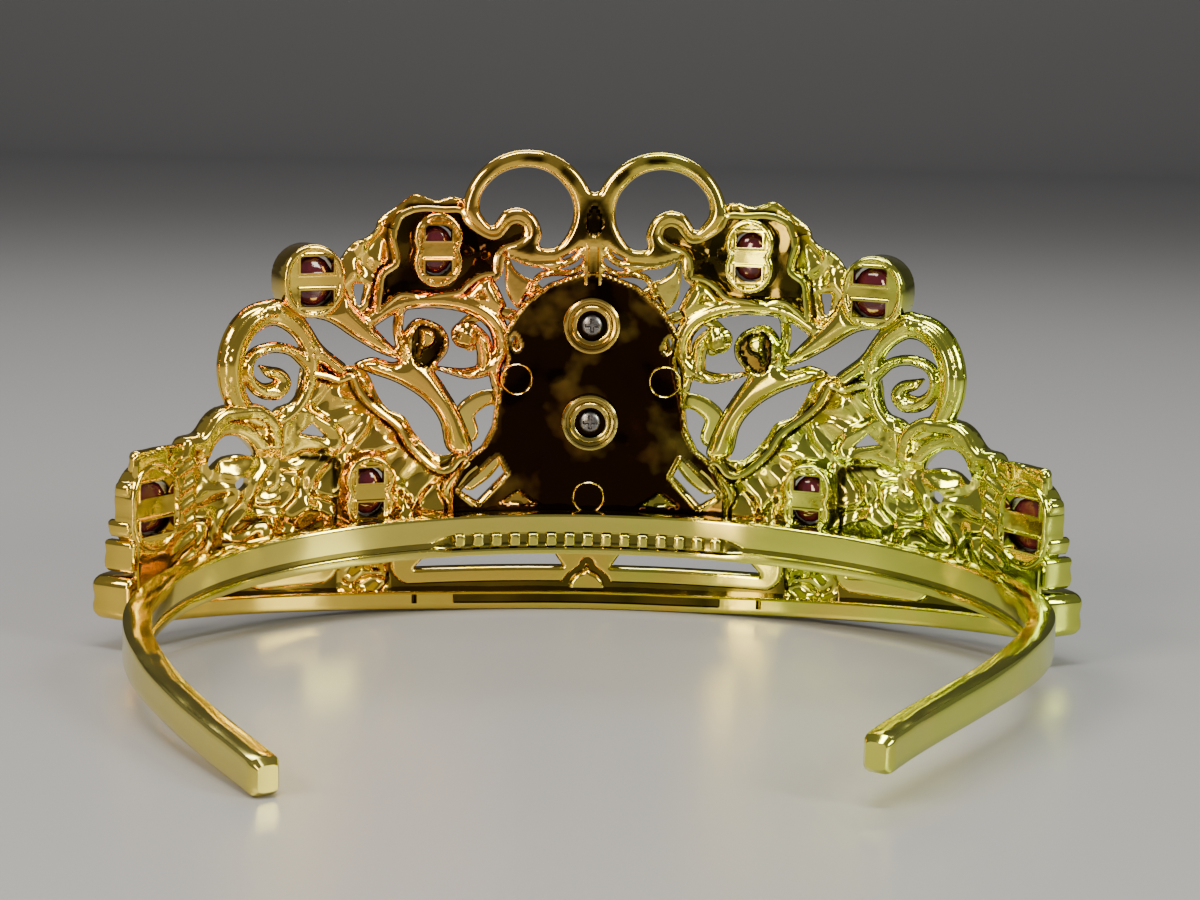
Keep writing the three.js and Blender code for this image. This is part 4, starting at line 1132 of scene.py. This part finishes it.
half_line = band_line(TIP_HALF_GAP)
hoop = np.concatenate([band_line(TIP_HALF_GAP - RIGHT_INSET)[:0:-1] * [-1, 1], half_line])
along = np.gradient(hoop, axis=0)
along /= np.linalg.norm(along, axis=1, keepdims=True)
back_share = (hoop[:, 1] - half_line[0, 1]) / (half_line[-1, 1] - half_line[0, 1])
under = FRONT_RISE * (1 - back_share) + np.where(hoop[:, 0] < 0, RIGHT_LIFT * back_share, 0)
tall = BAND_HEIGHT + (BAND_TIP_HEIGHT - BAND_HEIGHT) * back_share
# The section, as shares of half the thickness (out is positive) and of the height: with the
# teeth's groove in the front, then with a thin lip, then plain at the tips
OUTSIDE = [(0.7, 0.0), (0.95, 0.03), (1.0, 0.09), (1.0, 0.14), (1.0, 0.86), (1.0, 0.91),
           (0.95, 0.97), (0.7, 1.0)]
STEPPED = np.array(OUTSIDE + [
    (-0.7, 1.0), (-0.94, 0.985), (-0.99, 0.95), (-0.99, 0.91), (-0.97, 0.58), (-0.95, 0.55),
    (-0.6, 0.52), (-0.52, 0.48), (-0.5, 0.24), (-0.56, 0.19), (-0.95, 0.15), (-0.99, 0.12),
    (-0.99, 0.05), (-0.9, 0.0)])
LIPPED = np.array(OUTSIDE + [
    (-0.7, 1.0), (-0.94, 0.985), (-0.99, 0.95), (-0.99, 0.91), (-0.95, 0.5), (-0.93, 0.42),
    (-0.92, 0.38), (-0.78, 0.36), (-0.75, 0.26), (-0.8, 0.24), (-0.96, 0.22), (-0.99, 0.19),
    (-0.99, 0.05), (-0.9, 0.0)])
GROOVE_FLOOR = (15, 16)  # which of their points are the bottom of the groove
PLAIN = np.array([
    (0.55, 0.0), (0.86, 0.05), (0.99, 0.15), (1.0, 0.3), (1.0, 0.7), (0.99, 0.85), (0.86, 0.95),
    (0.55, 1.0), (-0.55, 1.0), (-0.86, 0.95), (-0.99, 0.85), (-1.0, 0.76), (-1.0, 0.68),
    (-1.0, 0.6), (-1.0, 0.52), (-1.0, 0.44), (-1.0, 0.37), (-1.0, 0.3), (-1.0, 0.22),
    (-0.99, 0.15), (-0.86, 0.05), (-0.55, 0.0)])
lipped = unit((np.abs(hoop[:, 0]) - LIP_START) / LIP_OVER)[:, None, None]
plainness = unit((back_share - PLAIN_START) / PLAIN_OVER)[:, None, None]
section = (STEPPED * (1 - lipped) + LIPPED * lipped) * (1 - plainness) + PLAIN * plainness
# Towards each tip the section shrinks along a quarter circle
steps = np.linalg.norm(np.diff(hoop, axis=0), axis=1)
from_right, from_left = np.append(0, np.cumsum(steps)), np.append(np.cumsum(steps[::-1])[::-1], 0)
to_round = 1 - unit(np.minimum(from_right, from_left) / TIP_ROUND)
pull = (1 - (1 - np.sqrt(unit(1 - to_round**2))) * TIP_TAPER)[:, None]
out = section[..., 0] * BAND_THICK / 2 * pull
rise = (section[..., 1] - 0.5) * tall[:, None] * pull + tall[:, None] / 2 + under[:, None]
band_points = np.stack([hoop[:, :1] + along[:, 1:] * out, hoop[:, 1:] - along[:, :1] * out,
                        np.maximum(rise, 0)], -1) * MM
many, around = band_points.shape[:2]
band_points = band_points.reshape(-1, 3)
olive_gold = plating("olive_gold", rough=0.11, wave=0.6, wave_size=0.01, yellow=(0.78, 0.66, 0.13))
head_band = mesh_piece("head_band_hoop", band_points, outward(band_points, tube_faces(many, around)),
                       olive_gold, "band_plating", 30)
# Painted shade, in brown, at the bottom of the teeth's groove
mark_painted_shade(head_band, 0.8 * (1 - plainness[:, :, 0]) * np.isin(np.arange(around), GROOVE_FLOOR))
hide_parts("head_band")

TEETH, TOOTH_PITCH, TOOTH_SIZE = 15, 2.95, (1.7, 1.5, 2.0)
TOOTH_INTO_GROOVE, TOOTH_MIDDLE = 0.15, 0.37  # mm forward, and a share of the band's height
SQUARENESS = 0.35


def softened_blocks(middles, turns, size, segments=8):
    """Pillow-like blocks: on a grid of two angles, each direction's cosine and sine are
    raised to a small power, which squares an ellipsoid off."""
    a = np.linspace(-math.pi / 2, math.pi / 2, segments)[:, None]
    b = np.linspace(-math.pi, math.pi, 2 * segments, endpoint=False)[None]
    cos_a, sin_a, cos_b, sin_b = (np.sign(v) * np.abs(v) ** SQUARENESS
                                  for v in (np.cos(a), np.sin(a), np.cos(b), np.sin(b)))
    x, y, z = (s / 2 * v for s, v in zip(size, (cos_a * cos_b, cos_a * sin_b, sin_a + 0 * b)))
    parts = []
    for middle, turn in zip(middles, turns):
        px = middle[0] + x * math.cos(turn) - y * math.sin(turn)
        py = middle[1] + x * math.sin(turn) + y * math.cos(turn)
        block = np.stack([px, py, middle[2] + z], -1).reshape(-1, 3) * MM
        parts.append((block, outward(block - block.mean(0), tube_faces(segments, 2 * segments))))
    return gathered(parts)


tooth_x = (np.arange(TEETH) - (TEETH - 1) / 2) * TOOTH_PITCH
tooth_y = band_inside_y + BAND_DEPTH * (1 - np.sqrt(1 - (tooth_x / BAND_HALF_WIDTH) ** 2))
tooth_turn = np.arctan2(BAND_DEPTH * tooth_x / BAND_HALF_WIDTH, np.sqrt(BAND_HALF_WIDTH**2 - tooth_x**2))
tooth_z = FRONT_RISE + BAND_HEIGHT * TOOTH_MIDDLE
tooth_middle = np.stack([tooth_x, tooth_y - TOOTH_INTO_GROOVE, 0 * tooth_x + tooth_z], -1)
teeth = mesh_piece("grip_teeth", *softened_blocks(tooth_middle, tooth_turn, TOOTH_SIZE), olive_gold,
                   "band_plating", 45)
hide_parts("head_band")

# Medallion.
# A separate oval frame in front of the plate, with a beaded border, small scrolls at its
# shoulders and feet, and one large cut stone. The two screws pull it to the plate.

MEDALLION_ROW, MEDALLION_BACK, MEDALLION_RIM = 38.5, 3.5, 5.2
MEDALLION_HALF = (12.9, 16.4)
WELL_HALF, WELL_DEPTH = (7.9, 9.9), 0.5
BORDER_HEIGHT = 1.6
SPIKE = [(13.5, 57.6), (13.6, 52), (11.6, 49), (10.4, 50.6), (9.9, 52.4), (10.6, 54), (12.2, 55.4)]
SPIKE_ROOT = [(8, 50.5), (9.6, 52.4), (11, 53.4)]
SMALL_SCROLLS = [
    ([(10.6, 47), (14.6, 48.4), (18.6, 47.4), (20.4, 45), (19, 43.6)], [2.2, 1.8, 1.8, 2.4, 3.2]),
    ([(11.6, 33), (16, 34.4), (19.6, 32), (19.2, 28.6)], [2.2, 2.6, 3.2, 3.4]),
    ([(9.6, 28), (13.6, 26), (16.6, 22.4), (18.8, 20.2)], [2.4, 3, 3.2, 2.4])]
yellow_gold = plating("yellow_gold", rough=0.08, wave=0.25, wave_size=0.005, yellow=(0.88, 0.7, 0.14))


def medallion_inside(u, z):
    """An oval with a spiked scroll and three small ones run on to it."""
    plate = oval(u, z, (0, MEDALLION_ROW), *MEDALLION_HALF)
    scroll = merge(outline(u, z, SPIKE), strip(u, z, SPIKE_ROOT, [3, 2.4, 1.6]), 0.3)
    for points, widths in SMALL_SCROLLS:
        scroll = merge(scroll, strip(u, z, points, widths), 0.3)
    return merge(plate, scroll, 0.6)


def medallion_front(u, z, inside):
    """A rounded edge and a raised border, with a dish in it and a well under the stone."""
    place = np.hypot(u / MEDALLION_HALF[0], (z - MEDALLION_ROW) / MEDALLION_HALF[1])
    dish = unit((0.86 - place) / 0.05)
    well = unit((1.0 - np.hypot(u / WELL_HALF[0], (z - MEDALLION_ROW) / WELL_HALF[1])) / 0.05)
    high = unit((1.05 - place) / 0.04)
    border = BORDER_HEIGHT * high * (1 - 0.35 * dish)
    return MEDALLION_RIM - rounded(inside, 0.9) * 0.7 + border - WELL_DEPTH * well


moulded_plate("medallion_plate", ((0, 23), (17.5, 59)), 0.3, medallion_inside,
              lambda u, z, d: MEDALLION_BACK + rounded(d, 0.7) * 0.6, medallion_front, yellow_gold,
              "medallion_plating", "medallion_frame")

BEADS, BEAD_OVAL = 44, (11.9, 15.3)
BEAD_RADIUS, BEAD_FOOT, BEAD_HEIGHT = 0.8, 5.9, 0.85


def studs(u, z, radius, depth, high, segments=7, sides=12):
    """Half beads: rings of points whose radius and height are a circle's cosine and sine."""
    a = np.linspace(0, math.pi / 2, segments)
    b = np.linspace(0, 2 * math.pi, sides, endpoint=False)
    across = np.multiply.outer(radius * np.cos(a), np.cos(b))
    up = np.multiply.outer(radius * np.cos(a), np.sin(b))
    out = (depth + high * np.sin(a))[:, None] + 0 * across
    parts = []
    for cu, cz in zip(u, z):
        points = seat(cu, cz, across, up, out).reshape(-1, 3)
        parts.append((points, outward(points - points.mean(0), tube_faces(segments, sides))))
    return gathered(parts)


bead_turn = np.linspace(0, 2 * math.pi, BEADS, endpoint=False)
bead_u, bead_z = BEAD_OVAL[0] * np.cos(bead_turn), MEDALLION_ROW + BEAD_OVAL[1] * np.sin(bead_turn)
beads = mesh_piece("medallion_beads", *studs(bead_u, bead_z, BEAD_RADIUS, BEAD_FOOT, BEAD_HEIGHT),
                   yellow_gold, "medallion_plating", 60)
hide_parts("medallion_frame")

BIG_STONE_HALF, BIG_STONE_SIDES = (7.4, 9.4), 26
# Levels of the large stone: each has its share of the outline, and its depth in mm
BIG_LEVELS = [(0.86, 6.5), (1.0, 7.3), (1.0, 7.9), (0.86, 9.0), (0.62, 10.0)]
big_rings = cut_rings(BIG_STONE_HALF, BIG_LEVELS, BIG_STONE_SIDES)
big_points = seat(0, MEDALLION_ROW, *big_rings).reshape(-1, 3)
big_faces = outward(big_points - big_points.mean(0), facet_faces(len(BIG_LEVELS), BIG_STONE_SIDES))
big_stone = mesh_piece("medallion_cut_stone", big_points, big_faces, ruby, "red_stone", 0)
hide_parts("medallion_stone")

# Floor, light and camera.
# A plain pale floor that sweeps up at the back, broad soft lights in an even grey for the
# plating to mirror, and a camera where the photograph was taken from.


def plain_surface(name, colour, rough):
    """Plain surface with faint cloudy unevenness in its colour."""
    material, sockets, place = new_material(name, 0.0)
    darker = tuple(c * 0.96 for c in colour)
    place.put(blend(darker, colour, noise(place, 0.2)), sockets["Base Color"])
    sockets["Roughness"].default_value = rough
    return material


FLOOR_FRONT, FLOOR_BACK, FLOOR_HALF, FLOOR_TOP, SWEEP = 1.2, -1.6, 3.0, 2.2, 0.5  # metres
sweep_turn = np.linspace(0, math.pi / 2, 24)
sweep_y = np.concatenate([[FLOOR_FRONT], FLOOR_BACK - SWEEP * np.sin(sweep_turn), [FLOOR_BACK - SWEEP]])
sweep_z = np.concatenate([[0], SWEEP * (1 - np.cos(sweep_turn)), [FLOOR_TOP]])
floor_points = np.stack(np.broadcast_arrays([-FLOOR_HALF, FLOOR_HALF], sweep_y[:, None],
                                            sweep_z[:, None]), -1).reshape(-1, 3)
row = 2 * np.arange(len(sweep_y) - 1)
floor_faces = np.stack([row, row + 2, row + 3, row + 1], -1)
floor_mesh = bpy.data.meshes.new("pale_floor")
floor_mesh.from_pydata(floor_points.tolist(), [], floor_faces.tolist())
floor_mesh.polygons.foreach_set("use_smooth", [True] * len(floor_mesh.polygons))
floor_mesh.materials.append(plain_surface("pale_floor", (0.26, 0.26, 0.27), 0.3))
floor = bpy.data.objects.new("pale_floor", floor_mesh)
bpy.context.scene.collection.objects.link(floor)

world = bpy.data.worlds.new("studio")
bpy.context.scene.world = world
world.use_nodes = True
background = world.node_tree.nodes["Background"].inputs
background["Color"].default_value = (0.19, 0.19, 0.2, 1)
background["Strength"].default_value = 1.0

SOFT_LIGHTS = {  # place, aim, size, watts, colour
    "left_softbox": ((0.5, 0.35, 0.5), (0, 0, 0.03), (0.35, 0.25), 6.2, (1.0, 0.88, 0.7)),
    "right_softbox": ((-0.6, 0.35, 0.4), (0, 0, 0.03), (0.2, 0.4), 6.0, (0.98, 1.0, 0.8)),
    "top_softbox": ((0.0, 0.15, 0.8), (0, 0, 0), (0.5, 0.16), 6.8, (1.0, 0.99, 0.95)),
    "front_strip": ((0.0, -0.45, 0.55), (0, 0, 0.05), (0.7, 0.1), 2.6, (1.0, 1.0, 1.0)),
    "low_strip": ((0.3, 0.6, 0.14), (0, 0, 0.05), (0.08, 0.25), 2.2, (1.0, 0.78, 0.5)),
}
for name, (place, aim, size, watts, colour) in SOFT_LIGHTS.items():
    light = bpy.data.lights.new(name, "AREA")
    light.shape = "RECTANGLE"
    light.size, light.size_y = size
    light.energy, light.color = watts, colour
    lamp = bpy.data.objects.new(name, light)
    lamp.location = place
    lamp.rotation_euler = (Vector(aim) - Vector(place)).to_track_quat("-Z", "Y").to_euler()
    bpy.context.scene.collection.objects.link(lamp)

CAMERA_FROM_BAND = Vector((5.6, 385.5, 90.3))  # from the panel's back on the floor, in mm
YAW, PITCH, ROLL = (math.radians(a) for a in (-1.09, 9.4, 1.3))
FOCAL_SHARE = 2.0  # focal length over the picture's width
forward = Vector((math.sin(YAW) * math.cos(PITCH), -math.cos(YAW) * math.cos(PITCH), -math.sin(PITCH)))
right = forward.cross(Vector((0, 0, 1))).normalized()
upward = right.cross(forward)
right, upward = (right * math.cos(ROLL) + upward * math.sin(ROLL),
                 upward * math.cos(ROLL) - right * math.sin(ROLL))
camera_data = bpy.data.cameras.new("photo_camera")
camera_data.sensor_width = 36.0
camera_data.lens = camera_data.sensor_width * FOCAL_SHARE
camera_data.clip_start = 0.01
camera = bpy.data.objects.new("photo_camera", camera_data)
turn = Matrix((right, upward, -forward)).transposed().to_4x4()
camera.matrix_world = Matrix.Translation((CAMERA_FROM_BAND + Vector((0, panel_back_y, 0))) * MM) @ turn
bpy.context.scene.collection.objects.link(camera)
bpy.context.scene.camera = camera
